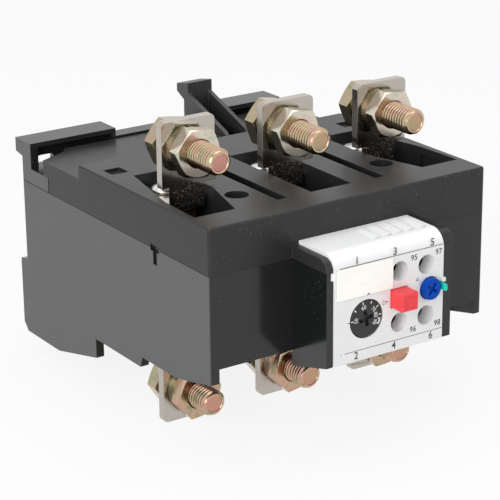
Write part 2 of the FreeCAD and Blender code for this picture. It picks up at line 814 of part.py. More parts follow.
def bar_screw(pole):
    top = LINE_FOOT_H - BAR_HEAD_T
    head = post(pole, BAR_SCREW_D, BAR_HEAD_R, (top, LINE_FOOT_H))
    head = soften(head, BAR_HEAD_ROUND, lambda e: is_round(e) and height_of(e) < top + BITE)
    shank = post(pole, BAR_SCREW_D, BAR_SCREW_R, (LINE_FOOT_H - BITE, BLOCK_TOP + BAR_SCREW_BITE))
    return join(head, shank).cut(cross_above(pole, BAR_SCREW_D, BAR_CROSS, top))


def heater(pole):
    """Flat strip with slots from alternate sides, so that its path winds down the block."""
    d = (BLOCK_END + HEATER_GAP, BLOCK_END + HEATER_GAP + HEATER_T)
    left, right = span(pole, HEATER_W)
    strip = box((left, right), d, (BLOCK_TOP, LOAD_FOOT_H))
    step = (LOAD_FOOT_H - BLOCK_TOP) / (HEATER_TURNS + 2)
    cuts = []
    for turn in range(1, HEATER_TURNS + 1):
        x = (left - PAST, right - HEATER_WEB) if turn % 2 else (left + HEATER_WEB, right + PAST)
        h = BLOCK_TOP + turn * step
        cuts.append(box(x, (d[0] - PAST, d[1] + PAST), (h, h + HEATER_SLOT)))
    return carve(strip, *cuts)


def bimetal(pole):
    return box(span(pole, BIMETAL_T), (SLIDER_D[0] - BIMETAL_AHEAD, SLIDER_D[1] + BIMETAL_BEHIND),
               (SLIDER_H + BIMETAL_DROP, LOAD_FOOT_H))


# ---------------------------------------------------- trip linkage and contacts
def trip_slider():
    reach = POLE_PITCH + SLIDER_PAST
    bar = box((-reach, reach), SLIDER_D, (SLIDER_H - SLIDER_T, SLIDER_H))
    fingers = [box((pole + FINGER_OFF, pole + FINGER_OFF + FINGER_T), SLIDER_D,
                   (SLIDER_H - BITE, SLIDER_H + FINGER_LEN)) for pole in POLES]
    gap = LEVER_HALF + LOOSE
    fork = [box(x, SLIDER_D, (SLIDER_H - BITE, LEVER_H[1]))
            for x in ((LEVER_X - gap - FORK_T, LEVER_X - gap), (LEVER_X + gap, LEVER_X + gap + FORK_T))]
    return join(bar, *(fingers + fork))


def trip_lever():
    front, rear = sum(CARRIAGE_D) / 2, sum(SLIDER_D) / 2
    arm = box(span(LEVER_X, 2 * LEVER_HALF), (front, rear), LEVER_H)
    hub = post(LEVER_X, LEVER_PIVOT_D, HUB_R, LEVER_H)
    tips = [post(LEVER_X, d, LEVER_HALF, LEVER_H) for d in (front, rear)]
    bore = post(LEVER_X, LEVER_PIVOT_D, PIVOT_R + FIT, (LEVER_H[0] - PAST, LEVER_H[1] + PAST))
    return join(arm, hub, *tips).cut(bore)


def contact_block():
    return box((CONTACT_L, LEVER_X + CONTACT_PAST), (CONTACT_FRONT, CONTACT_FRONT + CONTACT_DEEP),
               (CARRIAGE_H[1], FLOOR_TOP))


def contact_carriage():
    return box((CARRIAGE_L, LEVER_X - LEVER_HALF - LOOSE), CARRIAGE_D, CARRIAGE_H)


def contact_bridges():
    d = (CARRIAGE_D[1], CARRIAGE_D[1] + BRIDGE_T)
    return Part.makeCompound([box((x, x + BRIDGE_W), d, LEVER_H) for x in BRIDGE_XS])


# ---------------------------------------------------------------- front module
def module_case():
    side = [(CASE_FRONT, COVER_H), (0, COVER_H), (0, FRONT_H + CASE_DROP), (CASE_FRONT, FRONT_H + CASE_LIP)]
    left = side_plate(side, (CASE_L, CAP_L - SLIDE))
    right = side_plate(side, (CAP_R + SLIDE, CASE_R))
    inner = (CAP_L - SLIDE - BITE, CAP_R + SLIDE + BITE)
    skirt_end = CAP_SKIRT + SLIDE - PROUD
    floor = box(inner, (skirt_end, 0), (FRONT_H - CAP_T, FRONT_H))
    tongue = box((CAP_L + CAP_SIDE + SLIDE, CAP_R - CAP_SIDE - SLIDE),
                 (CAP_T + SLIDE - PROUD, skirt_end + BITE), (FRONT_H - CAP_T, FRONT_H))
    plate = box(inner, BACK_PLATE, (COVER_H, FRONT_H))
    body = join(left, right, floor, tongue, plate)
    through = (BACK_PLATE[0] - PAST, BACK_PLATE[1] + PAST)
    cuts = [rod(DIAL_X, DIAL_H, DIAL_SHAFT_R + FIT, through),
            rod(BUTTON_X, MID_H, STEM_R + FIT, through),
            rod(KNOB_X, KNOB_H, STEM_R + FIT, through),
            upright_bar(FLAG_X, KNOB_H, FLAG_W + 2 * FIT, FLAG_TALL + 2 * FIT, through)]
    wire_d = (AUX_FRONT + WIRE_IN, AUX_FRONT + WIRE_IN + WIRE_SIZE[0])
    cuts += [box((CAP_R, CASE_R + PAST), wire_d, span(h, WIRE_SIZE[1])) for h in TERM_HS]
    cuts.append(clip_block(LOOSE))
    return carve(body, *cuts)


def clip_block(grow):
    return box((CAP_L - CLIP_OUT - grow, CAP_L + grow), (CLIP_D[0] - PROUD - grow, CLIP_D[1] - PROUD + grow),
               (COVER_H + CLIP_DROP - grow, COVER_H + CLIP_DROP + CLIP_TALL + grow))


def cap_shell():
    front = -PROUD
    shell = box((CAP_L, CAP_R), (front, 0), (CAP_TOP, FRONT_H))
    shell = soften(shell, CAP_ROUND, lambda e: runs_along(e, X_AXIS) and depth_of(e) < front + BITE
                   and height_of(e) < CAP_TOP + BITE)
    inside = box((CAP_L + CAP_SIDE, CAP_R - CAP_SIDE), (front + CAP_T, PAST),
                 (CAP_TOP + CAP_ROOF, FRONT_H + PAST))
    inside = soften(inside, CAP_ROUND - CAP_T, lambda e: runs_along(e, X_AXIS) and
                    depth_of(e) < front + CAP_T + BITE and height_of(e) < CAP_TOP + CAP_ROOF + BITE)
    skirt = box((CAP_L - PAST, CAP_R + PAST), (front + CAP_SKIRT, PAST), (COVER_H, FRONT_H + PAST))
    return carve(shell, inside, skirt)


def indicator_guard():
    low = KNOB_H - FLAG_TALL / 2 - LOOSE
    return box((CAP_R - GUARD_W, CAP_R), (-PROUD - GUARD_OUT, BITE - PROUD), (low - GUARD_TALL, low))


def front_cap():
    spots = [(x, h) for x in TERM_XS for h in TERM_HS]
    tubes = [rod(x, h, TUBE_R, (BITE - PROUD, TUBE_LEN - PROUD)) for x, h in spots]
    shell = join(cap_shell(), clip_block(0), indicator_guard(), *tubes)
    through = (-PROUD - PAST, TUBE_LEN - PROUD + PAST)
    cuts = [rod(x, h, TERM_R, through) for x, h in spots]
    cuts.append(rod(DIAL_X, DIAL_H, DIAL_R + LOOSE, through))
    cuts.append(rod(KNOB_X, KNOB_H, KNOB_R + LOOSE, through))
    notch = (FLAG_X - FLAG_W / 2 - LOOSE, CAP_R + PAST)
    cuts.append(box(notch, through, span(KNOB_H, FLAG_TALL + 2 * LOOSE)))
    cuts.append(box(span(BUTTON_X, BUTTON_W + 2 * SLIDE), through, span(MID_H, BUTTON_H + 2 * SLIDE)))
    return carve(shell, *cuts)


def label_plate():
    face = -PROUD - LABEL_T
    plate = box((CAP_L + LABEL_IN, TERM_XS[0] - TERM_R + LABEL_OVER), (face, -PROUD),
                (LABEL_TOP, LABEL_TOP + LABEL_H))
    return soften(plate, LABEL_ROUND, lambda e: depth_of(e) < face + BITE)


def round_front(shape, radius, front):
    return soften(shape, radius, lambda e: is_round(e) and depth_of(e) < front + BITE)


def setting_dial():
    front = DIAL_SUNK - PROUD
    disc = round_front(rod(DIAL_X, DIAL_H, DIAL_R, (front, front + DIAL_T)), DIAL_ROUND, front)
    cross = cross_ahead(DIAL_X, DIAL_H, DIAL_CROSS, front)
    cross.rotate(at(DIAL_X, front, DIAL_H), Y_AXIS, DIAL_TURN)
    shaft = rod(DIAL_X, DIAL_H, DIAL_SHAFT_R, (front + DIAL_T - BITE, BACK_PLATE[1] + DIAL_SHAFT_PAST))
    return join(disc.cut(cross), shaft)


def setting_cam():
    d = (BACK_PLATE[0] - CAM_GAP - CAM_T, BACK_PLATE[0] - CAM_GAP)
    body = rod(DIAL_X + CAM_OFF, DIAL_H, CAM_R, d)
    return body.cut(rod(DIAL_X, DIAL_H, DIAL_SHAFT_R, (d[0] - PAST, d[1] + PAST)))


def coil(x, h, d):
    length = d[1] - d[0] - 2 * COIL_WIRE_R
    helix = Part.makeHelix(length / COIL_TURNS, length, COIL_R)
    profile = Part.Wire([Part.makeCircle(COIL_WIRE_R, FreeCAD.Vector(COIL_R, 0, 0), Y_AXIS)])
    solid = Part.Wire(helix).makePipeShell([profile], True, True)
    solid.rotate(FreeCAD.Vector(0, 0, 0), X_AXIS, -90)
    solid.translate(at(x, d[0] + COIL_WIRE_R, h))
    return solid


def test_button():
    front = -PROUD - BUTTON_OUT
    head = box(span(BUTTON_X, BUTTON_W), (front, BUTTON_BACK), span(MID_H, BUTTON_H))
    head = soften(head, BUTTON_ROUND, lambda e: depth_of(e) < BUTTON_BACK - BITE)
    stem = rod(BUTTON_X, MID_H, STEM_R, (BUTTON_BACK - BITE, BUTTON_END))
    mark = ring(BUTTON_X + MARK_OFF, MID_H, MARK_R, MARK_R - MARK_W, (front - PAST, front + MARK_DEEP))
    return join(head, stem).cut(mark)


def test_spring():
    return coil(BUTTON_X, MID_H, (BUTTON_BACK, BACK_PLATE[0]))


def reset_plunger():
    stem = rod(KNOB_X, KNOB_H, STEM_R, (SOCKET_IN - PROUD, KNOB_END))
    collar = rod(KNOB_X, KNOB_H, COLLAR_R, (KNOB_BACK, KNOB_BACK + COLLAR_T))
    return join(stem, collar)


def reset_knob():
    front = -PROUD - KNOB_OUT
    body = round_front(rod(KNOB_X, KNOB_H, KNOB_R, (front, KNOB_BACK)), KNOB_ROUND, front)
    rim = KNOB_X - KNOB_R
    tab = box((rim - TAB_OUT, rim + TAB_ROOT), (front + TAB_SINK, -PROUD - KNOB_TRAVEL - SLIDE),
              span(KNOB_H, TAB_W))
    tab.rotate(at(KNOB_X, front, KNOB_H), Y_AXIS, TAB_TURN)
    cross = cross_ahead(KNOB_X, KNOB_H, KNOB_CROSS, front)
    cross.rotate(at(KNOB_X, front, KNOB_H), Y_AXIS, KNOB_TURN)
    bore = rod(KNOB_X, KNOB_H, STEM_R + FIT, (SOCKET_IN - PROUD - SLIDE, KNOB_BACK + PAST))
    return carve(join(body, tab), bore, cross)


def reset_spring():
    return coil(KNOB_X, KNOB_H, (KNOB_BACK + COLLAR_T, BACK_PLATE[0]))


def trip_indicator():
    front = -PROUD - FLAG_OUT
    bar = upright_bar(FLAG_X, KNOB_H, FLAG_W, FLAG_TALL, (front, FLAG_END))
    return soften(bar, FLAG_ROUND, lambda e: depth_of(e) < front + BITE)


def aux_block(h):
    x = (TERM_XS[0] - AUX_LEFT, TERM_XS[1] + AUX_RIGHT)
    body = box(x, (AUX_FRONT, BACK_PLATE[0]), span(h, TERM_ROW - AUX_GAP))
    face = AUX_FRONT + AUX_FACE
    cuts = [rod(spot, h, TERM_R - AUX_RIM, (AUX_FRONT - PAST, face)) for spot in TERM_XS]
    cuts.append(box((x[0] + AUX_WALL, x[1] + PAST), (face, face + AUX_TUNNEL[0]), span(h, AUX_TUNNEL[1])))
    return carve(body, *cuts)


def aux_screws():
    face = AUX_FRONT + AUX_HEAD_IN
    solids = []
    for x in TERM_XS:
        for h in TERM_HS:
            head = rod(x, h, AUX_HEAD_R, (face, face + AUX_HEAD_T))
            solids.append(head.cut(cross_ahead(x, h, AUX_CROSS, face)))
    return Part.makeCompound(solids)


def aux_clamps():
    width, thick, tall = CLAMP_SIZE
    d = (AUX_FRONT + AUX_HEAD_IN + AUX_HEAD_T, AUX_FRONT + AUX_HEAD_IN + AUX_HEAD_T + thick)
    return Part.makeCompound([box(span(x, width), d, span(h, tall)) for x in TERM_XS for h in TERM_HS])


# ---------------------------------------------------------------------- output
def build():
    line = (LINE_D, -LINE_BOLT_UP, LINE_STUD)
    load = (LOAD_D, LOAD_BOLT_DOWN, LOAD_STUD)
    nodes = {
        "base_housing": base_housing(),
        "top_cover": top_cover(),
        "rear_hook": rear_hook(),
        "module_case": module_case(),
        "front_cap": front_cap(),
        "label_plate": label_plate(),
        "setting_dial": setting_dial(),
        "setting_cam": setting_cam(),
        "test_button": test_button(),
        "test_spring": test_spring(),
        "reset_plunger": reset_plunger(),
        "reset_knob": reset_knob(),
        "reset_spring": reset_spring(),
        "trip_indicator": trip_indicator(),
        "aux_block_upper": aux_block(TERM_HS[0]),
        "aux_block_lower": aux_block(TERM_HS[1]),
        "aux_screws": aux_screws(),
        "aux_clamps": aux_clamps(),
        "trip_slider": trip_slider(),
        "trip_lever": trip_lever(),
        "contact_block": contact_block(),
        "contact_carriage": contact_carriage(),
        "contact_bridges": contact_bridges(),
        "cover_screws": cover_screws(),
        "bar_screws": Part.makeCompound([bar_screw(pole) for pole in POLES]),
    }
    for kind in ("bolts", "nuts", "washers", "lock_washers"):
        nodes["line_" + kind] = fasteners(kind, *line)
        nodes["load_" + kind] = fasteners(kind, *load)
    for number, pole in enumerate(POLES, start=1):
        nodes[f"line_bar_{number}"] = line_bar(pole)
        nodes[f"load_bar_{number}"] = load_bar(pole)
        nodes[f"pole_block_{number}"] = pole_block(pole)
        nodes[f"heater_{number}"] = heater(pole)
        nodes[f"bimetal_{number}"] = bimetal(pole)
    return nodes


os.makedirs("parts", exist_ok=True)
for name, shape in build().items():
    if not shape.isValid():
        print("check", name)
    shape.exportStep(f"parts/{name}.step")
print("wrote the parts")
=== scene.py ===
"""Looks of a three-pole thermal overload relay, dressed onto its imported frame.

Lengths are metres, with MM for sizes that a maker would give in millimetres. +Z is up, the
setting module faces -Y and +Y points into the mounting plate.
"""

import math

import bmesh
import bpy
from mathutils import Matrix, Vector


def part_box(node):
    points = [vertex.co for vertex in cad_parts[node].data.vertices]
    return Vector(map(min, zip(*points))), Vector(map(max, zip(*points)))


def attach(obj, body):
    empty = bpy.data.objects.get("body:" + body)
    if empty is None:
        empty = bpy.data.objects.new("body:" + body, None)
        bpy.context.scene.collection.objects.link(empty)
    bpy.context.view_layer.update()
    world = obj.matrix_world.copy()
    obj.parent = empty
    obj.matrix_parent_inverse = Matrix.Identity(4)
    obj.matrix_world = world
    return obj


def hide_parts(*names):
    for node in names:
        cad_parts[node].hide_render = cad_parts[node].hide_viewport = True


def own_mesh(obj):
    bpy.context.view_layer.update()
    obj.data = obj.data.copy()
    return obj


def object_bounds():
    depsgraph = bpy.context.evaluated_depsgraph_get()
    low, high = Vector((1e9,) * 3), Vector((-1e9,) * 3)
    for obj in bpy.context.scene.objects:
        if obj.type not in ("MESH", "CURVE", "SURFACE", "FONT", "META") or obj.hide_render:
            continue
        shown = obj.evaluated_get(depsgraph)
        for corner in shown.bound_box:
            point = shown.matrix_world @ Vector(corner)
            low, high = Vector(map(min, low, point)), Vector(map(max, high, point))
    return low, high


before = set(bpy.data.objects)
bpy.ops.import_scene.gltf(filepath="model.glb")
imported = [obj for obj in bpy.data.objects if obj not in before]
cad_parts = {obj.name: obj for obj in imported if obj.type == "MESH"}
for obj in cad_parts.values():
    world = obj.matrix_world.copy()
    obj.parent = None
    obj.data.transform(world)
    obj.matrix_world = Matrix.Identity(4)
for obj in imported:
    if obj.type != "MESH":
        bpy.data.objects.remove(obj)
cad_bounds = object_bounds()

MM = 0.001
POLES = (1, 2, 3)
TAU = 2 * math.pi
FORWARD = Matrix.Rotation(math.radians(90), 4, "X")

# Bolted joints of the bus bars
THREAD_R = 4.95 * MM
THREAD_PITCH = 1.5 * MM
THREAD_DEEP = 0.80 * MM
TIP_BEVEL = 1.1 * MM
TIP_SLOPE = 1.2  # radius gained for each length behind the tip
TIP_RING = 0.65 * MM
TIP_SINK = 0.15 * MM
HEX_FACE = 0.49  # radius of the flat face, as a share of the width across flats
HEX_SLOPE = 24  # degrees
BORE_BEVEL = 0.5 * MM
LOCK_GAP = 7  # degrees
# Each nut and each head as it was left, in degrees
NUT_TURNS = {"line": (-9, -12, -7), "load": (10, 13, 6)}
HEAD_TURNS = {"line": (-8, -11, -6), "load": (4, 8, 2)}

# Screws and springs
CLAMP_HEAD_R = 3.1 * MM
SPRING_WIRE = 0.3 * MM
SPRING_R = 2.6 * MM
SPRING_TURNS = 6

# Printing
INK = 0.02 * MM
RULE_W = 0.22 * MM
OUTLINE_W = 0.2 * MM
POLE_FIGURES = 2.7 * MM
TERMINAL_FIGURES = 2.1 * MM
DIAL_FIGURES = 1.45 * MM

# Edge radii
HOUSING_EDGE = 0.28 * MM
BAR_EDGE = 0.25 * MM
LABEL_EDGE = 0.16 * MM
NUT_EDGE = 0.14 * MM
SMALL_EDGE = 0.12 * MM


# ------------------------------------------------------------------ shader graph
class Field:
    """A value that changes over a surface. Arithmetic on it adds Math nodes."""

    def __init__(self, graph, socket):
        self.graph = graph
        self.socket = socket

    def math(self, operation, first, second=0.0):
        node = self.graph.node("ShaderNodeMath", {"operation": operation}, {0: first, 1: second})
        return node.out("Value")

    def __add__(self, other):
        return self.math("ADD", self, other)

    def __radd__(self, other):
        return self.math("ADD", other, self)

    def __sub__(self, other):
        return self.math("SUBTRACT", self, other)

    def __rsub__(self, other):
        return self.math("SUBTRACT", other, self)

    def __mul__(self, other):
        return self.math("MULTIPLY", self, other)

    def __rmul__(self, other):
        return self.math("MULTIPLY", other, self)

    def larger(self, other):
        return self.math("MAXIMUM", self, other)

    def size(self):
        return self.math("ABSOLUTE", self)

    def between(self, low, high):
        """0 below low, 1 above high and a soft step between them."""
        settings = {"interpolation_type": "SMOOTHSTEP"}
        inputs = {"Value": self, "From Min": low, "From Max": high}
        return self.graph.node("ShaderNodeMapRange", settings, inputs).out("Result")


class Node:
    """A shader node whose outputs are read as fields."""

    def __init__(self, graph, node):
        self.graph = graph
        self.node = node

    def out(self, name):
        return Field(self.graph, self.node.outputs[name])


class Graph:
    """The node tree of one material, or of the world."""

    def __init__(self, owner):
        self.owner = owner
        owner.use_nodes = True
        self.tree = owner.node_tree
        self.tree.nodes.clear()
        self.place = self.node("ShaderNodeTexCoord").out("Object")

    def node(self, kind, settings=None, inputs=None):
        made = self.tree.nodes.new(kind)
        for name, value in (settings or {}).items():
            if name == "stops":
                self.fill_ramp(made.color_ramp, value)
            else:
                setattr(made, name, value)
        for key, value in (inputs or {}).items():
            if isinstance(value, Field):
                self.tree.links.new(value.socket, made.inputs[key])
            else:
                made.inputs[key].default_value = value
        return Node(self, made)

    def fill_ramp(self, ramp, stops):
        while len(ramp.elements) < len(stops):
            ramp.elements.new(1.0)
        for element, (position, colour) in zip(ramp.elements, stops):
            element.position = position
            element.color = (*colour, 1.0)

    def noise(self, size, detail=2.0, roughness=0.5, place=None):
        """Cloudy noise whose blotches are about size metres across."""
        inputs = {"Vector": place or self.place, "Scale": 1.0 / size, "Detail": detail,
                  "Roughness": roughness}
        return self.node("ShaderNodeTexNoise", None, inputs).out("Fac")

    def stretched(self, factors):
        """The place on the surface, scaled by its own factor along each axis."""
        inputs = {0: self.place, 1: factors}
        return self.node("ShaderNodeVectorMath", {"operation": "MULTIPLY"}, inputs).out("Vector")

    def axis(self, letter):
        """How far along one axis of the frame a point of the surface lies, in metres."""
        return self.node("ShaderNodeSeparateXYZ", None, {"Vector": self.place}).out(letter)

    def seen(self):
        """1 for rays that show the backdrop: from the camera, off a shine or through glass."""
        rays = self.node("ShaderNodeLightPath")
        shine = rays.out("Is Camera Ray").larger(rays.out("Is Glossy Ray"))
        return shine.larger(rays.out("Is Transmission Ray"))

    def mix(self, share, first, second):
        """A colour between two colours."""
        def colour(value):
            return value if isinstance(value, Field) else (*value, 1.0)
        settings = {"data_type": "RGBA", "clamp_factor": True}
        node = self.node("ShaderNodeMix", settings, {0: share, 6: colour(first), 7: colour(second)})
        return Field(self, node.node.outputs[2])

    def ramp(self, value, stops):
        return self.node("ShaderNodeValToRGB", {"stops": stops}, {"Fac": value}).out("Color")

    def bump(self, height, depth):
        """A surface relief of the given depth in metres."""
        return self.node("ShaderNodeBump", None, {"Height": height, "Distance": depth}).out("Normal")

    def surface(self, **inputs):
        """Ends the graph in a principled shader; names are its sockets with _ for spaces."""
        sockets = {name.replace("_", " "): value for name, value in inputs.items()}
        shader = self.node("ShaderNodeBsdfPrincipled", None, sockets)
        self.node("ShaderNodeOutputMaterial", None, {"Surface": shader.out("BSDF")})


FINISH = {}


def graph(name):
    """Starts a finish and files it under its name."""
    FINISH[name] = bpy.data.materials.new(name)
    return Graph(FINISH[name])


def grey(value):
    return (value, value, value)


def scaled(colour, factor):
    return tuple(factor * channel for channel in colour)


# --------------------------------------------------------------------- finishes
def moulded(name, dark, light, roughness, grain=0.35 * MM, relief=0.012 * MM, dust=0.0,
            shine=0.5, sides=None, seam_shadow_z=None):
    """Injection-moulded plastic: spark-eroded grain, cloudy gloss and a little dust.

    sides gives walls beyond a distance from the middle their own roughness and a tone of their own
    that paints how the lamps fall on them: painted light where it is paler, painted shade where it is
    darker. The last argument is the height at which two mouldings meet, where a near-black line is the
    painted shadow of the gap between them."""
    g = graph(name)
    cloud = g.noise(14 * MM, 3.0)
    fine = g.noise(grain, 2.0, 0.6)
    blend = cloud * 0.6 + fine * 0.4
    tone = g.mix(blend, dark, light)
    rubbed = g.noise(5 * MM, 4.0, 0.65, g.stretched((1.0, 0.35, 1.0)))
    gloss = roughness + (cloud - 0.5) * 0.10 + (rubbed - 0.5) * 0.08
    # Flanks get their own roughness and a painted tone that stands in for how the lamps fall on them.
    if sides:
        distance, painted_wall_tone, wall_gloss = sides
        wall = g.axis("X").size().between(distance - 0.2 * MM, distance)
        tone = g.mix(wall, tone, g.mix(blend, painted_wall_tone, scaled(painted_wall_tone, 1.25)))
        gloss = gloss + wall * (wall_gloss - roughness)
    # A near-black painted shadow line at that height, for the gap between two mouldings.
    if seam_shadow_z:
        off_seam_shadow = (g.axis("Z") - seam_shadow_z).size().between(0.10 * MM, 0.22 * MM)
        tone = g.mix(off_seam_shadow, grey(0.002), tone)
        gloss = gloss + (1 - off_seam_shadow) * 0.5
    if dust:
        specks = g.noise(0.55 * MM, 1.0).between(0.70, 0.74)
        patches = g.noise(15 * MM, 2.0).between(0.42, 0.62)
        settled = specks * patches
        tone = g.mix(settled * dust, tone, (0.42, 0.41, 0.39))
        gloss = gloss + settled * 0.3
    g.surface(Base_Color=tone, Roughness=gloss, Normal=g.bump(fine, relief), Specular_IOR_Level=shine)


def cap_plastic(name, face, behind, roughness):
    """White moulding whose top and driver wells, behind its face, are painted paler: painted light."""
    g = graph(name)
    cloud = g.noise(14 * MM, 3.0)
    fine = g.noise(0.35 * MM, 2.0, 0.6)
    # Paler behind the face: painted light on the top and in the wells.
    depth = g.axis("Y").between(face + 0.3 * MM, face + 1.8 * MM)
    tone = g.mix(depth, g.mix(cloud, grey(0.73), (0.79, 0.79, 0.785)), behind)
    gloss = roughness + (cloud - 0.5) * 0.08
    g.surface(Base_Color=tone, Roughness=gloss, Normal=g.bump(fine, 0.006 * MM))


def rubbed_and_highlit_edge(name, colour, roughness):
    """The rounded edge of a black moulding, paler and smoother than its faces: partly rubbed wear,
    partly a painted highlight.
    """
    g = graph(name)
    rub_and_sheen = g.noise(2.2 * MM, 3.0, 0.7)
    tone = g.mix(rub_and_sheen.between(0.35, 0.75), colour, scaled(colour, 2.4))
    g.surface(Base_Color=tone, Roughness=roughness + (rub_and_sheen - 0.5) * 0.2)


def gloss_plastic(name, colour, deep, roughness, shine=0.5):
    """A smooth coloured moulding with soft patches of a slightly deeper tone."""
    g = graph(name)
    cloud = g.noise(2.5 * MM, 2.0)
    fine = g.noise(0.25 * MM, 2.0)
    tone = g.mix(cloud.between(0.3, 0.75), colour, deep)
    g.surface(Base_Color=tone, Roughness=roughness + (fine - 0.5) * 0.10,
              Normal=g.bump(fine, 0.004 * MM), Specular_IOR_Level=shine)


def nickel_plate(name):
    """Satin nickel on copper bar: rolling marks, a warm tarnish and grit near the wells."""
    g = graph(name)
    rolled = g.noise(0.9 * MM, 3.0, 0.6, g.stretched((1.0, 1.0, 0.12)))
    cloud = g.noise(9 * MM, 3.0)
    tarnish = g.noise(4.0 * MM, 3.0, 0.55).between(0.50, 0.80)
    above_foot = g.axis("Z") - cad_bounds[0][2]
    near_well = 1 - above_foot.between(88 * MM, 96 * MM)
    grit = g.noise(0.45 * MM, 1.0).between(0.64, 0.72) * near_well
    tone = g.mix(cloud, (0.43, 0.39, 0.345), (0.52, 0.485, 0.44))
    tone = g.mix(tarnish * 0.45, tone, (0.34, 0.30, 0.245))
    tone = g.mix(grit * 0.5, tone, (0.74, 0.71, 0.66))
    gloss = 0.10 + cloud * 0.09 + (rolled - 0.5) * 0.06 + grit * 0.4 + near_well * 0.05
    g.surface(Base_Color=tone, Metallic=1.0, Roughness=gloss, Normal=g.bump(rolled, 0.002 * MM))


BLOOM_PLACES = (0.34, 0.44, 0.52, 0.60, 0.70)
OLIVE_ZINC = ((0.30, 0.31, 0.20), (0.40, 0.37, 0.24), (0.46, 0.39, 0.25), (0.46, 0.34, 0.25),
              (0.36, 0.32, 0.28))
STRAW_ZINC = ((0.42, 0.38, 0.25), (0.53, 0.43, 0.28), (0.58, 0.42, 0.27), (0.57, 0.36, 0.27),
              (0.46, 0.34, 0.29))
ROSY_ZINC = ((0.30, 0.29, 0.18), (0.46, 0.36, 0.24), (0.56, 0.37, 0.26), (0.56, 0.31, 0.25),
             (0.36, 0.27, 0.25))
PALE_ZINC = ((0.48, 0.51, 0.42), (0.60, 0.58, 0.47), (0.66, 0.61, 0.51), (0.68, 0.54, 0.47),
             (0.58, 0.54, 0.52))
TIP_ZINC = ((0.42, 0.34, 0.21), (0.48, 0.32, 0.20), (0.52, 0.29, 0.20), (0.52, 0.26, 0.21),
            (0.50, 0.25, 0.23))
# Near-black tones for the thread roots: painted shade in the grooves.
ROOT_SHADE_ZINC = ((0.05, 0.045, 0.03), (0.07, 0.055, 0.035), (0.08, 0.055, 0.035),
             (0.07, 0.045, 0.03), (0.05, 0.04, 0.03))
WASHER_ZINC = tuple(scaled(tone, 0.8) for tone in OLIVE_ZINC)


def yellow_zinc(name, tones, polish, drift_size=4.5 * MM):
    """Passivated zinc whose bloom drifts through the tones in soft patches."""
    g = graph(name)
    drift = g.noise(drift_size, 2.0, 0.5)
    bloom = g.noise(2.4 * MM, 2.0, 0.5, g.stretched((1.0, 0.7, 1.3)))
    scratch = g.noise(0.5 * MM, 3.0, 0.7)
    tone = g.ramp(drift * 0.75 + bloom * 0.25, list(zip(BLOOM_PLACES, tones)))
    grime = g.noise(1.3 * MM, 3.0, 0.6).between(0.56, 0.80)
    tone = g.mix(grime * 0.3, tone, (0.14, 0.11, 0.07))
    gloss = polish + bloom * 0.10 + (scratch - 0.5) * 0.08
    g.surface(Base_Color=tone, Metallic=1.0, Roughness=gloss, Normal=g.bump(scratch, 0.005 * MM))


def plain_metal(name, colour, shade, roughness):
    """Plated or drawn metal with fine scratches and a slightly uneven shine."""
    g = graph(name)
    cloud = g.noise(3 * MM, 3.0)
    scratch = g.noise(0.4 * MM, 3.0, 0.65)
    tone = g.mix(cloud.between(0.35, 0.7), colour, shade)
    g.surface(Base_Color=tone, Metallic=1.0, Roughness=roughness + (cloud - 0.5) * 0.18,
              Normal=g.bump(scratch, 0.005 * MM))


def tinted_strip(name):
    """Resistance strip with straw and blue heat tints in bands."""
    g = graph(name)
    bands = g.noise(6 * MM, 2.0, 0.5, g.stretched((0.4, 1.0, 1.4)))
    tints = [(0.3, (0.50, 0.46, 0.42)), (0.5, (0.52, 0.38, 0.24)), (0.65, (0.28, 0.27, 0.38))]
    g.surface(Base_Color=g.ramp(bands, tints), Metallic=1.0, Roughness=0.42 + (bands - 0.5) * 0.2)


def ink(name, colour):
    """Pad-printed ink, thin and slightly uneven. It also serves for the painted shade at the foot of
    the label.
    """
    g = graph(name)
    wear = g.noise(0.35 * MM, 2.0)
    worn = tuple(0.5 * channel + 0.2 for channel in colour)
    tone = g.mix(wear.between(0.45, 0.8) * 0.35, colour, worn)
    g.surface(Base_Color=tone, Roughness=0.55)


def black_mouldings():
    """The housing's finishes. The base's flanks are duller than its front and painted paler, painted
    light; the cover's flanks are painted a little darker, painted shade; a painted shadow line lies
    where the cover meets the base.
    """
    black = (0.012, 0.012, 0.013)
    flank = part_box("base_housing")[1].x - 0.1 * MM
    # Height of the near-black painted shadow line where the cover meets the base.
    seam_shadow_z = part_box("top_cover")[0].z
    # The base's paler flank tone is painted light, the cover's darker one painted shade.
    base_painted_side = (flank, (0.068, 0.068, 0.070), 0.45)
    cover_painted_side = (flank, (0.016, 0.016, 0.017), 0.34)
    moulded("base_black", black, (0.016, 0.016, 0.017), 0.15, relief=0.003 * MM, dust=0.15,
            shine=0.4, sides=base_painted_side, seam_shadow_z=seam_shadow_z)
    moulded("cover_black", (0.017, 0.017, 0.018), (0.026, 0.026, 0.027), 0.34, dust=0.30,
            shine=0.28, sides=cover_painted_side, seam_shadow_z=seam_shadow_z)
    moulded("hook_black", black, (0.040, 0.040, 0.042), 0.42, dust=0.3)
    moulded("case_black", (0.004, 0.005, 0.005), (0.009, 0.010, 0.010), 0.16,
            relief=0.003 * MM, dust=0.2)
    moulded("dial_black", grey(0.012), grey(0.022), 0.42, 0.2 * MM, shine=0.4)
    # Paler rounded edges of the housing and module: wear and a painted highlight.
    rubbed_and_highlit_edge("black_edge", (0.034, 0.034, 0.035), 0.36)


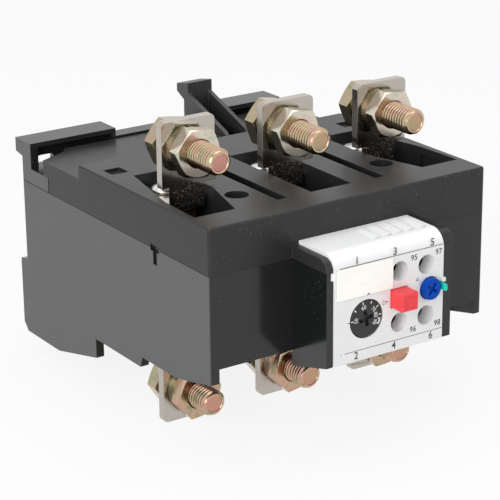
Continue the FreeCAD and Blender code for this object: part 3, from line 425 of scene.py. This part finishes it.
def module_plastics():
    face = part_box("label_plate")[1].y
    # grey(0.85) is the painted light on the cap's top and in its driver wells.
    cap_plastic("cap_white", face, grey(0.85), 0.42)
    moulded("cap_edge", (0.76, 0.76, 0.755), (0.83, 0.83, 0.82), 0.38, relief=0.004 * MM)
    # Ribs in a paler white than the cap: a painted highlight on them.
    gloss_plastic("rib_white_highlight", grey(0.93), grey(0.90), 0.22)
    gloss_plastic("label_cream", (0.95, 0.94, 0.875), (0.92, 0.905, 0.84), 0.33)
    # The label's rounded edges in dark grey: painted shade along its edge.
    gloss_plastic("label_edge_shade", (0.56, 0.55, 0.51), (0.50, 0.49, 0.45), 0.40)
    gloss_plastic("natural", (0.74, 0.71, 0.62), (0.68, 0.64, 0.54), 0.42)
    gloss_plastic("button_red", (0.80, 0.062, 0.072), (0.74, 0.046, 0.056), 0.42, 0.3)
    gloss_plastic("knob_blue", (0.0, 0.062, 0.44), (0.0, 0.046, 0.34), 0.34, 0.12)
    gloss_plastic("flag_teal", (0.0, 0.60, 0.44), (0.0, 0.50, 0.38), 0.35)
    moulded("block_brown", (0.085, 0.042, 0.024), (0.13, 0.066, 0.038), 0.50)


def metals():
    nickel_plate("bar_nickel")
    yellow_zinc("line_thread_zinc", STRAW_ZINC, 0.16)
    yellow_zinc("load_thread_zinc", ROSY_ZINC, 0.16)
    yellow_zinc("thread_root_shade", ROOT_SHADE_ZINC, 0.40)
    yellow_zinc("bolt_tip_zinc", TIP_ZINC, 0.26, 26 * MM)
    yellow_zinc("bolt_head_zinc", OLIVE_ZINC, 0.14)
    yellow_zinc("line_nut_zinc", PALE_ZINC, 0.12)
    yellow_zinc("load_nut_zinc", ROSY_ZINC, 0.12)
    yellow_zinc("washer_zinc", WASHER_ZINC, 0.18)
    plain_metal("screw_bright", (0.76, 0.755, 0.74), (0.60, 0.59, 0.57), 0.28)
    plain_metal("clamp_plated", (0.66, 0.64, 0.60), (0.52, 0.50, 0.45), 0.34)
    plain_metal("spring_steel", (0.62, 0.62, 0.61), (0.48, 0.48, 0.47), 0.30)
    plain_metal("bimetal_strip", (0.60, 0.56, 0.50), (0.46, 0.40, 0.34), 0.38)
    plain_metal("bridge_brass", (0.78, 0.66, 0.40), (0.64, 0.50, 0.28), 0.30)
    tinted_strip("heater_strip")


def inks():
    ink("ink_black", (0.03, 0.03, 0.032))
    ink("ink_white", (0.78, 0.78, 0.77))
    # Grey for the painted shadow under the label plate.
    ink("shadow_grey", (0.30, 0.295, 0.28))


black_mouldings()
module_plastics()
metals()
inks()


# ----------------------------------------------------------- dressing CAD nodes
def shading_group():
    """A modifier group that joins facets and shades them smooth, apart from real corners."""
    group = bpy.data.node_groups.new("smooth_by_angle", "GeometryNodeTree")
    group.interface.new_socket("Geometry", in_out="INPUT", socket_type="NodeSocketGeometry")
    group.interface.new_socket("Geometry", in_out="OUTPUT", socket_type="NodeSocketGeometry")
    nodes, links = group.nodes, group.links
    source = nodes.new("NodeGroupInput")
    result = nodes.new("NodeGroupOutput")
    faces = nodes.new("GeometryNodeSetShadeSmooth")
    edges = nodes.new("GeometryNodeSetShadeSmooth")
    edges.domain = "EDGE"
    angle = nodes.new("GeometryNodeInputMeshEdgeAngle")
    gentle = nodes.new("FunctionNodeCompare")
    gentle.operation = "LESS_THAN"
    gentle.inputs[1].default_value = math.radians(27)
    links.new(source.outputs[0], faces.inputs["Geometry"])
    links.new(faces.outputs[0], edges.inputs["Geometry"])
    links.new(angle.outputs["Unsigned Angle"], gentle.inputs[0])
    links.new(gentle.outputs[0], edges.inputs["Shade Smooth"])
    links.new(edges.outputs[0], result.inputs[0])
    return group


SHADING = shading_group()


def add_edges(piece, width):
    """Facets become whole faces, corners get a small radius and the shading follows."""
    weld = piece.modifiers.new("weld", "WELD")
    weld.merge_threshold = 0.002 * MM
    if width:
        faces = piece.modifiers.new("whole_faces", "DECIMATE")
        faces.decimate_type = "DISSOLVE"
        faces.angle_limit = math.radians(0.4)
        round_off = piece.modifiers.new("edge_radius", "BEVEL")
        round_off.width = width
        round_off.segments = 2
        round_off.limit_method = "ANGLE"
        round_off.angle_limit = math.radians(40)
        round_off.material = 1
    shade = piece.modifiers.new("shade", "NODES")
    shade.node_group = SHADING
    weights = piece.modifiers.new("weights", "WEIGHTED_NORMAL")
    weights.keep_sharp = True


def dress(node, face, edge=None, width=SMALL_EDGE):
    """Gives a CAD node its finishes, the second one on its rounded edges."""
    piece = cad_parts[node]
    while len(piece.data.materials) < 2:
        piece.data.materials.append(None)
    piece.material_slots[0].material = FINISH[face]
    piece.material_slots[1].material = FINISH[edge or face]
    add_edges(piece, width)


def dress_frame():
    dress("base_housing", "base_black", "black_edge", HOUSING_EDGE)
    dress("top_cover", "cover_black", "black_edge", HOUSING_EDGE)
    dress("rear_hook", "hook_black", "black_edge", HOUSING_EDGE)
    for node in ("module_case", "aux_block_upper", "aux_block_lower"):
        dress(node, "case_black", "black_edge")
    dress("front_cap", "cap_white", "cap_edge")
    dress("label_plate", "label_cream", "label_edge_shade", LABEL_EDGE)
    dress("setting_dial", "dial_black")
    dress("test_button", "button_red")
    dress("reset_knob", "knob_blue")
    dress("trip_indicator", "flag_teal")
    for node in ("setting_cam", "reset_plunger", "trip_slider", "trip_lever", "contact_carriage"):
        dress(node, "natural")
    dress("aux_clamps", "clamp_plated")
    dress("contact_block", "block_brown")
    dress("contact_bridges", "bridge_brass")
    for pole in POLES:
        dress(f"line_bar_{pole}", "bar_nickel", width=BAR_EDGE)
        dress(f"load_bar_{pole}", "bar_nickel", width=BAR_EDGE)
        dress(f"pole_block_{pole}", "block_brown")
        dress(f"heater_{pole}", "heater_strip", width=0)
        dress(f"bimetal_{pole}", "bimetal_strip", width=0)


# -------------------------------------------------------------------- new pieces
def as_object(bm, name):
    mesh = bpy.data.meshes.new(name)
    bm.to_mesh(mesh)
    bm.free()
    made = bpy.data.objects.new(name, mesh)
    bpy.context.scene.collection.objects.link(made)
    return made


def piece_from(bm, name, finishes, replaced=None, edge=0.0):
    """Closes a bmesh into a piece of the housing; rounded edges take the second finish."""
    bmesh.ops.remove_doubles(bm, verts=bm.verts, dist=0.001 * MM)
    bmesh.ops.recalc_face_normals(bm, faces=bm.faces)
    piece = as_object(bm, name)
    for finish in finishes:
        piece.data.materials.append(FINISH[finish])
    add_edges(piece, edge)
    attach(piece, "housing")
    if replaced:
        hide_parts(replaced)
    return piece


def skin(bm, rows, closed=True):
    """Quads between rows of points, going round if closed."""
    made = [[bm.verts.new(p) for p in row] for row in rows]
    for row, following in zip(made, made[1:]):
        count = len(row)
        for k in range(count if closed else count - 1):
            m = (k + 1) % count
            bm.faces.new((row[k], row[m], following[m], following[k]))
    return made


def close_ends(bm, rows):
    bm.faces.new(rows[0])
    bm.faces.new(rows[-1])


def new_faces(bm, known):
    """The faces that were added since known was noted."""
    return set(bm.faces) - known


def lathe(bm, profile, centre, turn=None, steps=64, start=0.0, sweep=TAU):
    """Revolves (radius, height) points about +Z, turned and moved to where they belong."""
    place = Matrix.Translation(centre) @ (turn or Matrix.Identity(4))
    closed = sweep >= TAU
    count = steps if closed else steps + 1
    angles = [start + sweep * k / steps for k in range(count)]
    rows = []
    for radius, height in profile:
        circle = [Vector((radius * math.cos(a), radius * math.sin(a), height)) for a in angles]
        rows.append([place @ point for point in circle])
    return skin(bm, rows, closed)


def rounded(profile, radius, steps=5):
    """Rounds the corners between the ends of a profile of (radius, height) points."""
    points = [Vector(p) for p in profile]
    out = [points[0]]
    for before, corner, after in zip(points, points[1:], points[2:]):
        reach = min(radius, (before - corner).length / 2, (after - corner).length / 2)
        first = corner + (before - corner).normalized() * reach
        last = corner + (after - corner).normalized() * reach
        for k in range(steps + 1):
            t = k / steps
            out.append(first * (1 - t) ** 2 + corner * 2 * t * (1 - t) + last * t ** 2)
    out.append(points[-1])
    return [tuple(p) for p in out]


# ---------------------------------------------------------------- bolted joints
def stack(end):
    """Where the parts of one end's bolted joints lie, read from the frame."""
    bolts_low, bolts_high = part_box(f"{end}_bolts")
    nuts_low, nuts_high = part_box(f"{end}_nuts")
    washers_low, washers_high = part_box(f"{end}_washers")
    locks_low, locks_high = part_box(f"{end}_lock_washers")
    lug_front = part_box(f"{end}_bar_1")[0].y
    height = (nuts_low.z + nuts_high.z) / 2
    centres = []
    for pole in POLES:
        low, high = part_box(f"{end}_bar_{pole}")
        centres.append(Vector(((low.x + high.x) / 2, 0, height)))
    return {
        "centres": centres,
        "flats": nuts_high.z - nuts_low.z,
        "tip": bolts_low.y,
        "head": (locks_high.y, bolts_high.y),
        "nut": (nuts_low.y, nuts_high.y),
        "washer": (washers_low.y, washers_high.y),
        "washer_r": (washers_high.z - washers_low.z) / 2,
        "locks": ((locks_low.y, lug_front), (washers_high.y, locks_high.y)),
        "lock_r": (locks_high.z - locks_low.z) / 2,
    }


def hex_rows(centre, flats, front, back, bore, turn):
    """Rows of a hexagon whose corners are cut by a cone at both ends."""
    steps = 72
    face_r = flats * HEX_FACE
    slope = math.tan(math.radians(HEX_SLOPE))
    angles = [turn + TAU * k / steps for k in range(steps)]

    def ring(radius, y, angle):
        return Vector((centre.x + radius * math.cos(angle), y, centre.z + radius * math.sin(angle)))

    def circle(radius, y):
        return [ring(radius, y, a) for a in angles]

    def crown(y, inward):
        row = []
        for a in angles:
            side = (a - turn) % (math.pi / 3) - math.pi / 6
            radius = flats / 2 / math.cos(side)
            depth = max(0.0, radius - face_r) * slope
            row.append(ring(radius, y + inward * depth, a))
        return row

    rows = [circle(face_r, front), crown(front, 1), crown(back, -1), circle(face_r, back)]
    if bore:
        mouth = bore + BORE_BEVEL
        inner = circle(bore, front + BORE_BEVEL)
        rows = [inner, circle(mouth, front)] + rows
        rows += [circle(mouth, back), circle(bore, back - BORE_BEVEL), inner]
    return rows


# Places along one pitch, and how deep the thread is there
THREAD_FORM = ((0.0, 1.0), (0.10, 1.0), (0.26, 0.55), (0.44, 0.0), (0.62, 0.0), (0.80, 0.55),
               (0.96, 1.0))


def thread(bm, centre, tip, end):
    """A thread as one helical skin from the bevelled tip to end."""
    steps = 48
    tip_r = THREAD_R - TIP_BEVEL
    turns = int((end - tip) / THREAD_PITCH) + 2
    columns = []
    for k in range(steps + 1):
        angle = TAU * k / steps
        column = []
        for turn in range(-1, turns):
            for share, deep in THREAD_FORM:
                y = tip + (turn + share + k / steps) * THREAD_PITCH
                y = min(max(y, tip), end)
                radius = min(THREAD_R - deep * THREAD_DEEP, tip_r + (y - tip) * TIP_SLOPE)
                column.append(Vector((centre.x + radius * math.cos(angle), y,
                                      centre.z + radius * math.sin(angle))))
        columns.append(column)
    known = set(bm.faces)
    skin(bm, columns, closed=False)
    # Faces deep in the roots take the second, near-black finish: painted shade.
    root_r = THREAD_R - 0.45 * THREAD_DEEP
    for face in new_faces(bm, known):
        middle = face.calc_center_median()
        deep = math.hypot(middle.x - centre.x, middle.z - centre.z) < root_r
        face.material_index = 1 if deep and middle.y > tip + 1.6 * TIP_BEVEL else 0
    tip_disc(bm, Vector((centre.x, tip, centre.z)), tip_r)


def tip_disc(bm, end_face, tip_r):
    """The flat ring at the bolt's tip, round a sunk disc of its own finish."""
    disc_r = tip_r - TIP_RING
    ring = [(tip_r, 0.0), (disc_r + 0.1 * MM, 0.0), (disc_r, -TIP_SINK)]
    lathe(bm, ring, end_face, FORWARD, 48)
    known = set(bm.faces)
    dish = [(disc_r, -TIP_SINK), (disc_r - 0.25 * MM, -0.05 * MM), (0.2 * MM, -0.09 * MM)]
    rows = lathe(bm, dish, end_face, FORWARD, 48)
    bm.faces.new(rows[-1])
    for face in new_faces(bm, known):
        face.material_index = 2


def bolts(end):
    s = stack(end)
    shank_r = THREAD_R - THREAD_DEEP
    bm = bmesh.new()
    for centre, turn in zip(s["centres"], HEAD_TURNS[end]):
        thread(bm, centre, s["tip"], s["nut"][1])
        shank = [(shank_r, -s["nut"][1]), (shank_r, -s["head"][0])]
        lathe(bm, shank, Vector((centre.x, 0, centre.z)), FORWARD)
        known = set(bm.faces)
        head = hex_rows(centre, s["flats"], *s["head"], 0.0, math.radians(turn))
        close_ends(bm, skin(bm, head))
        for face in new_faces(bm, known):
            face.material_index = 3
    finishes = (f"{end}_thread_zinc", "thread_root_shade", "bolt_tip_zinc", "bolt_head_zinc")
    piece_from(bm, f"{end}_threaded_bolts", finishes, f"{end}_bolts")


def nuts(end):
    s = stack(end)
    bm = bmesh.new()
    for centre, turn in zip(s["centres"], NUT_TURNS[end]):
        skin(bm, hex_rows(centre, s["flats"], *s["nut"], THREAD_R - 0.1 * MM, math.radians(turn)))
    finishes = (f"{end}_nut_zinc", f"{end}_nut_zinc")
    piece_from(bm, f"{end}_hex_nuts", finishes, f"{end}_nuts", NUT_EDGE)


def ring_profile(outer, inner, thickness, edge):
    """The (radius, height) loop of a flat ring, from the middle of its bore and back."""
    loop = [(inner, thickness / 2), (inner, 0), (outer, 0), (outer, thickness), (inner, thickness),
            (inner, thickness / 2)]
    return rounded(loop, edge)


def washers(end):
    s = stack(end)
    bm = bmesh.new()
    front, back = s["washer"]
    profile = ring_profile(s["washer_r"], THREAD_R + 0.3 * MM, back - front, 0.35 * MM)
    for centre in s["centres"]:
        lathe(bm, profile, Vector((centre.x, back, centre.z)), FORWARD, 72)
    piece_from(bm, f"{end}_flat_washers", ("washer_zinc",), f"{end}_washers")


def lock_washers(end):
    """Rings split at the top, in front of and behind each lug."""
    s = stack(end)
    bm = bmesh.new()
    gap = math.radians(LOCK_GAP)
    for centre in s["centres"]:
        for front, back in s["locks"]:
            profile = ring_profile(s["lock_r"], THREAD_R + 0.2 * MM, back - front, 0.25 * MM)
            rows = lathe(bm, profile, Vector((centre.x, back, centre.z)), FORWARD, 60,
                         math.radians(90) + gap / 2, TAU - gap)
            for cut in (0, -1):
                bm.faces.new([row[cut] for row in rows[:-1]])
    piece_from(bm, f"{end}_split_washers", ("washer_zinc",), f"{end}_lock_washers")


# --------------------------------------------------------------- screws, springs
def cross_recess(radius, deep):
    """A tapered cross that a driver tip would leave, pointing down from z = 0."""
    bm = bmesh.new()
    for turn in (0, 90):
        spin = Matrix.Rotation(math.radians(turn), 4, "Z")
        rows = []
        for height, share in ((0.4 * MM, 1.05), (-deep, 0.55)):
            long, thin = radius * share, radius * 0.19 * share
            corners = ((-long, -thin), (long, -thin), (long, thin), (-long, thin))
            rows.append([spin @ Vector((x, y, height)) for x, y in corners])
        close_ends(bm, skin(bm, rows))
    bmesh.ops.recalc_face_normals(bm, faces=bm.faces)
    return bm


def screw_head(radius, height, recess):
    """A pan head with its cross recess, its top at z = 0, as a finished mesh."""
    bm = bmesh.new()
    middle = 0.05 * MM
    profile = [(middle, 0.0), (radius * 0.45, -0.04 * height), (radius * 0.80, -0.22 * height),
               (radius, -0.62 * height), (radius, -height), (middle, -height)]
    close_ends(bm, lathe(bm, rounded(profile, 0.5 * MM, 4), Vector(), None, 48))
    bmesh.ops.recalc_face_normals(bm, faces=bm.faces)
    head = as_object(bm, "head_blank")
    cutter = as_object(cross_recess(recess, 0.6 * height), "recess_blank")
    cut = head.modifiers.new("recess", "BOOLEAN")
    cut.object = cutter
    cut.solver = "EXACT"
    cut.use_self = True
    depsgraph = bpy.context.evaluated_depsgraph_get()
    mesh = bpy.data.meshes.new_from_object(head.evaluated_get(depsgraph))
    for spare in (head, cutter):
        bpy.data.objects.remove(spare)
    return mesh


def screws(name, node, places, turns, radius, height, recess):
    """Copies one finished head to each place; places are matrices from z-up to the part."""
    mesh = screw_head(radius, height, recess)
    bm = bmesh.new()
    for place, turn in zip(places, turns):
        single = mesh.copy()
        single.transform(place @ Matrix.Rotation(math.radians(turn), 4, "Z"))
        bm.from_mesh(single)
        bpy.data.meshes.remove(single)
    piece_from(bm, name, ("screw_bright",), node)


def upright_screws(name, node, recess, turns, between=()):
    """A row of upright heads along X: the two end ones, and those between them."""
    low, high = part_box(node)
    radius = (high.y - low.y) / 2
    y = (low.y + high.y) / 2
    row = (low.x + radius, *between, high.x - radius)
    places = [Matrix.Translation((x, y, high.z)) for x in row]
    screws(name, node, places, turns, radius, 2.6 * MM, recess)


def clamp_centres():
    """Where the four clamp screws stand: left and right X, foot and top Z."""
    low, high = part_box("aux_screws")
    return low.x + CLAMP_HEAD_R, high.x - CLAMP_HEAD_R, low.z + CLAMP_HEAD_R, high.z - CLAMP_HEAD_R


def clamp_screws():
    low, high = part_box("aux_screws")
    left, right, foot, top = clamp_centres()
    places = [Matrix.Translation((x, low.y, z)) @ FORWARD for x in (left, right) for z in (foot, top)]
    screws("clamp_pan_screws", "aux_screws", places, (15, 52, 80, 33), CLAMP_HEAD_R, high.y - low.y,
           2.2 * MM)


def coil(name, node):
    """A compression spring in place of its CAD node, on a mesh of its own."""
    low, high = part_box(node)
    centre = (low + high) / 2
    start, end = low.y + SPRING_WIRE, high.y - SPRING_WIRE
    steps, sides = 28 * SPRING_TURNS, 8
    along = Vector((0, 1, 0))
    rows = []
    for k in range(steps + 1):
        angle = TAU * SPRING_TURNS * k / steps
        out = Vector((math.cos(angle), 0, math.sin(angle)))
        middle = Vector((centre.x, start + (end - start) * k / steps, centre.z)) + out * SPRING_R
        row = []
        for m in range(sides):
            a = TAU * m / sides
            row.append(middle + (out * math.cos(a) + along * math.sin(a)) * SPRING_WIRE)
        rows.append(row)
    bm = bmesh.new()
    close_ends(bm, skin(bm, rows))
    piece = piece_from(bm, name, ("spring_steel",), node)
    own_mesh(piece)


# ---------------------------------------------------------------------- printing and painted shade
def as_print_and_painted_shade(name, mesh, finish, body):
    mesh.materials.clear()
    mesh.materials.append(FINISH[finish])
    piece = bpy.data.objects.new(name, mesh)
    bpy.context.scene.collection.objects.link(piece)
    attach(piece, body)


def flat_piece(name, shapes, y, finish, body):
    """Ink shapes, and shapes of painted shade, each a list of (x, z) corners, as a thin film that
    faces -Y.
    """
    bm = bmesh.new()
    for shape in shapes:
        bm.faces.new([bm.verts.new((x, y - INK, z)) for x, z in shape])
    mesh = bpy.data.meshes.new(name)
    bm.to_mesh(mesh)
    bm.free()
    as_print_and_painted_shade(name, mesh, finish, body)


def line(x0, z0, x1, z1, width):
    """A printed stroke from one point to another."""
    along = Vector((x1 - x0, z1 - z0)).normalized()
    side = Vector((-along.y, along.x)) * width / 2
    start, end = Vector((x0, z0)), Vector((x1, z1))
    return [tuple(start + side), tuple(start - side), tuple(end - side), tuple(end + side)]


def outline(corners, width):
    return [line(*start, *end, width) for start, end in zip(corners, corners[1:] + corners[:1])]


def polar(centre, radius, angle):
    """A point of the face at an angle in degrees from +X towards +Z."""
    a = math.radians(angle)
    return centre[0] + radius * math.cos(a), centre[1] + radius * math.sin(a)


def arc_band(centre, radius, width, first, last):
    """A printed band along an arc."""
    steps = 12
    angles = [first + (last - first) * k / steps for k in range(steps + 1)]
    inner = [polar(centre, radius - width / 2, a) for a in angles]
    outer = [polar(centre, radius + width / 2, a) for a in angles]
    return inner + outer[::-1]


def number(name, text, size, place, face, finish, body, turn=0.0, weight=0.02):
    """A printed number centred on a place (x, z), size being the height of its figures."""
    curve = bpy.data.curves.new(name, "FONT")
    curve.body = text
    curve.size = size / 0.70
    curve.align_x = "CENTER"
    curve.align_y = "CENTER"
    curve.resolution_u = 4
    curve.offset = weight * size
    curve.space_character = 1.05
    source = bpy.data.objects.new(name + "_source", curve)
    bpy.context.scene.collection.objects.link(source)
    depsgraph = bpy.context.evaluated_depsgraph_get()
    mesh = bpy.data.meshes.new_from_object(source.evaluated_get(depsgraph))
    bpy.data.objects.remove(source)
    x, z = place
    spin = Matrix.Rotation(math.radians(turn), 4, "Z")
    narrow = Matrix.Diagonal((0.95, 1, 1, 1))
    mesh.transform(Matrix.Translation((x, face - INK, z)) @ FORWARD @ spin @ narrow)
    as_print_and_painted_shade(name, mesh, finish, body)


def cap_face():
    """The cap's left edge, right edge, foot and top, and the depth of its flat front."""
    low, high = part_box("front_cap")
    return low.x + 1.0 * MM, high.x, low.z, high.z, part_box("label_plate")[1].y


def cap_rules():
    """Two rules and a dash, the dial's pointer, the test arrow and a small mark by the knob."""
    left, right, foot, top, face = cap_face()
    upper, lower = top - 4.8 * MM, foot + 3.9 * MM
    marks = [line(left + 2.0 * MM, upper, right - 0.3 * MM, upper, RULE_W),
             line(left + 4.1 * MM, lower, right - 0.2 * MM, lower, RULE_W),
             line(left + 2.4 * MM, lower, left + 2.8 * MM, lower, 0.3 * MM)]
    low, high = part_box("setting_dial")
    z = (low.z + high.z) / 2
    marks.append(line(low.x - 1.3 * MM, z, low.x - 0.1 * MM, z, 0.3 * MM))
    low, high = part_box("test_button")
    tip, z = low.x - 1.3 * MM, (low.z + high.z) / 2 - 0.7 * MM
    arrow = [(tip, z), (tip - 2.2 * MM, z + 0.8 * MM), (tip - 2.2 * MM, z - 0.8 * MM)]
    low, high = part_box("reset_knob")
    x, z = low.x - 0.5 * MM, high.z - 0.3 * MM
    knob_mark = [(x, z), (x - 1.1 * MM, z + 0.5 * MM), (x - 0.2 * MM, z + 1.2 * MM)]
    marks += outline(arrow, OUTLINE_W) + outline(knob_mark, OUTLINE_W)
    flat_piece("cap_rules", marks, face, "ink_black", "housing")


def cap_numbers():
    """Plain numbers for the three poles, top and foot, and for the four control terminals."""
    left, right, foot, top, face = cap_face()
    thirds = (left + 9.2 * MM, left + 25.6 * MM, left + 42.0 * MM)
    places = [(text, POLE_FIGURES, x, top - 3.2 * MM) for text, x in zip("135", thirds)]
    places += [(text, POLE_FIGURES, x, foot + 2.05 * MM) for text, x in zip("246", thirds)]
    left_well, right_well, lower_well, upper_well = clamp_centres()
    columns = (left_well + 6.2 * MM, right_well + 5.3 * MM)
    for pair, z in ((("95", "97"), upper_well + 3.6 * MM), (("96", "98"), lower_well - 4.1 * MM)):
        places += [(text, TERMINAL_FIGURES, x, z) for text, x in zip(pair, columns)]
    for text, size, x, z in places:
        number(f"cap_number_{text}", text, size, (x, z), face, "ink_black", "housing")


def label_marks():
    """The small nick at the foot of the label plate, drawn as a black triangle that is painted shade,
    and a grey line under the plate that is its painted shadow on the cap.
    """
    low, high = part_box("label_plate")
    x = (low.x + high.x) / 2 + 1.2 * MM
    # The nick is a black triangle: painted shade.
    half, flat = 0.7 * MM, low.z + 0.16 * MM
    nick = [(x - half, flat), (x + half, flat), (x, low.z + 0.85 * MM)]
    flat_piece("label_nick_shade", [nick], low.y, "ink_black", "housing")
    # A grey line just under the label plate: its painted shadow on the cap.
    foot = low.z - 0.12 * MM
    gap = line(low.x + 0.3 * MM, foot, high.x, foot, 0.24 * MM)
    flat_piece("label_foot_shadow", [gap], high.y, "shadow_grey", "housing")


def dial_print():
    """A white scale on the dial: ticks round the rim, plain numbers and a bracket."""
    low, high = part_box("setting_dial")
    centre = ((low.x + high.x) / 2, (low.z + high.z) / 2)
    rim = (high.x - low.x) / 2

    def tick(angle, reach, length, width):
        start, end = polar(centre, rim - reach, angle), polar(centre, rim - reach - length, angle)
        return line(*start, *end, width)

    bracket = (-29, -11)
    marks = [tick(angle, 0.35 * MM, 1.1 * MM, 0.36 * MM) for angle in (180, 142, 103.5, 69, 37, 4)]
    marks.append(arc_band(centre, rim - 0.85 * MM, 0.62 * MM, *bracket))
    marks += [tick(angle, 0.55 * MM, 1.2 * MM, 0.5 * MM) for angle in bracket]
    flat_piece("dial_scale", marks, low.y, "ink_white", "dial")
    figures = (("50", 180, 4.2), ("60", 104, 4.3), ("70", 42, 4.2), ("80", 8, 4.1), ("90", -28, 4.1))
    for text, angle, reach in figures:
        number(f"dial_number_{text}", text, DIAL_FIGURES, polar(centre, reach * MM, angle), low.y,
               "ink_white", "dial", angle - 90, 0.0)


def cap_ribs():
    """Five low saw-tooth ribs across the top of the cap, for a finger's grip, in a paler white that is
    a painted highlight.
    """
    left, right, foot, top, face = cap_face()
    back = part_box("front_cap")[1].y
    width, height, pitch = 3.4 * MM, 0.30 * MM, 5.0 * MM
    tooth = ((0.0, -0.3), (0.0, 0.1), (0.85, 1.0), (0.94, 0.95), (1.0, 0.6), (1.0, -0.3))
    stations = ((face + 7.5 * MM, -0.4 * MM), (face + 13.0 * MM, 0.0), (back - 2.6 * MM, 0.4 * MM))
    bm = bmesh.new()
    for k in range(5):
        x = left + 23.6 * MM + k * pitch
        rows = []
        for share, lift in tooth:
            across = x + (share - 0.5) * width
            z = top - 0.01 * MM + height * lift
            rows.append([Vector((across + skew, y, z)) for y, skew in stations])
        skin(bm, rows, closed=False)
    piece_from(bm, "cap_ribs", ("rib_white_highlight",))


# ------------------------------------------------------------------ stage and view
def make_floor():
    """A pale floor that keeps the object's shadow."""
    g = graph("floor_pale")
    pale = g.mix(g.noise(0.3) * 0.1, grey(0.80), grey(0.78))
    matt = g.node("ShaderNodeBsdfDiffuse", None, {"Color": pale}).out("BSDF")
    glow = g.node("ShaderNodeEmission", None, {"Color": (1, 1, 1, 1), "Strength": 1.0}).out("Emission")
    both = g.node("ShaderNodeMixShader", None, {0: g.seen() * 0.88, 1: matt, 2: glow})
    g.node("ShaderNodeOutputMaterial", None, {"Surface": both.out("Shader")})
    bm = bmesh.new()
    bmesh.ops.create_circle(bm, cap_ends=True, segments=96, radius=6.0)
    floor = as_object(bm, "floor")
    floor.location = (0, 0, cad_bounds[0][2])
    floor.data.materials.append(g.owner)


def make_world():
    """Soft room light for the object and plain white behind it."""
    g = Graph(bpy.data.worlds.new("studio"))

    def backdrop(colour, strength):
        inputs = {"Color": (*colour, 1), "Strength": strength}
        return g.node("ShaderNodeBackground", None, inputs).out("Background")

    room, white = backdrop((0.96, 0.98, 1.0), 0.42), backdrop((1, 1, 1), 1.0)
    both = g.node("ShaderNodeMixShader", None, {0: g.seen(), 1: room, 2: white})
    g.node("ShaderNodeOutputWorld", None, {"Surface": both.out("Shader")})
    bpy.context.scene.world = g.owner


def softbox(name, place, width, height, power):
    lamp = bpy.data.lights.new(name, "AREA")
    lamp.shape = "RECTANGLE"
    lamp.size, lamp.size_y = width, height
    lamp.energy = power
    made = bpy.data.objects.new(name, lamp)
    made.location = place
    aim = Vector((0, -0.07, 0.03))
    made.rotation_euler = (aim - Vector(place)).to_track_quat("-Z", "Y").to_euler()
    bpy.context.scene.collection.objects.link(made)


def make_lights():
    softbox("side_box", (-0.90, -0.52, 0.42), 0.9, 0.8, 9.5)
    softbox("top_box", (0.10, -0.05, 1.05), 0.9, 0.9, 5.0)
    softbox("front_box", (0.25, -1.10, 0.40), 0.8, 0.6, 1.6)


def make_camera():
    camera = bpy.data.cameras.new("camera")
    camera.lens = 142.94
    camera.sensor_width = 36.0
    camera.clip_start = 0.01
    made = bpy.data.objects.new("camera", camera)
    made.location = Vector((-395.9, -665.7, 281.7)) * MM
    aim = Vector((-3.76, -79.0, 28.0)) * MM
    look = (aim - made.location).to_track_quat("-Z", "Y")
    roll = Matrix.Rotation(math.radians(-0.58), 3, "Z")
    made.rotation_euler = (look.to_matrix() @ roll).to_euler()
    bpy.context.scene.collection.objects.link(made)
    bpy.context.scene.camera = made


def build():
    dress_frame()
    for end in ("line", "load"):
        bolts(end)
        nuts(end)
        washers(end)
        lock_washers(end)
    upright_screws("cover_pan_screws", "cover_screws", 2.1 * MM, (24, 61))
    upright_screws("bar_pan_screws", "bar_screws", 2.8 * MM, (10, 48, 77), between=(0,))
    clamp_screws()
    coil("test_coil", "test_spring")
    coil("reset_coil", "reset_spring")
    cap_rules()
    cap_numbers()
    label_marks()
    dial_print()
    cap_ribs()
    make_floor()
    make_world()
    make_lights()
    make_camera()
    bpy.context.scene.view_settings.view_transform = "Standard"


build()
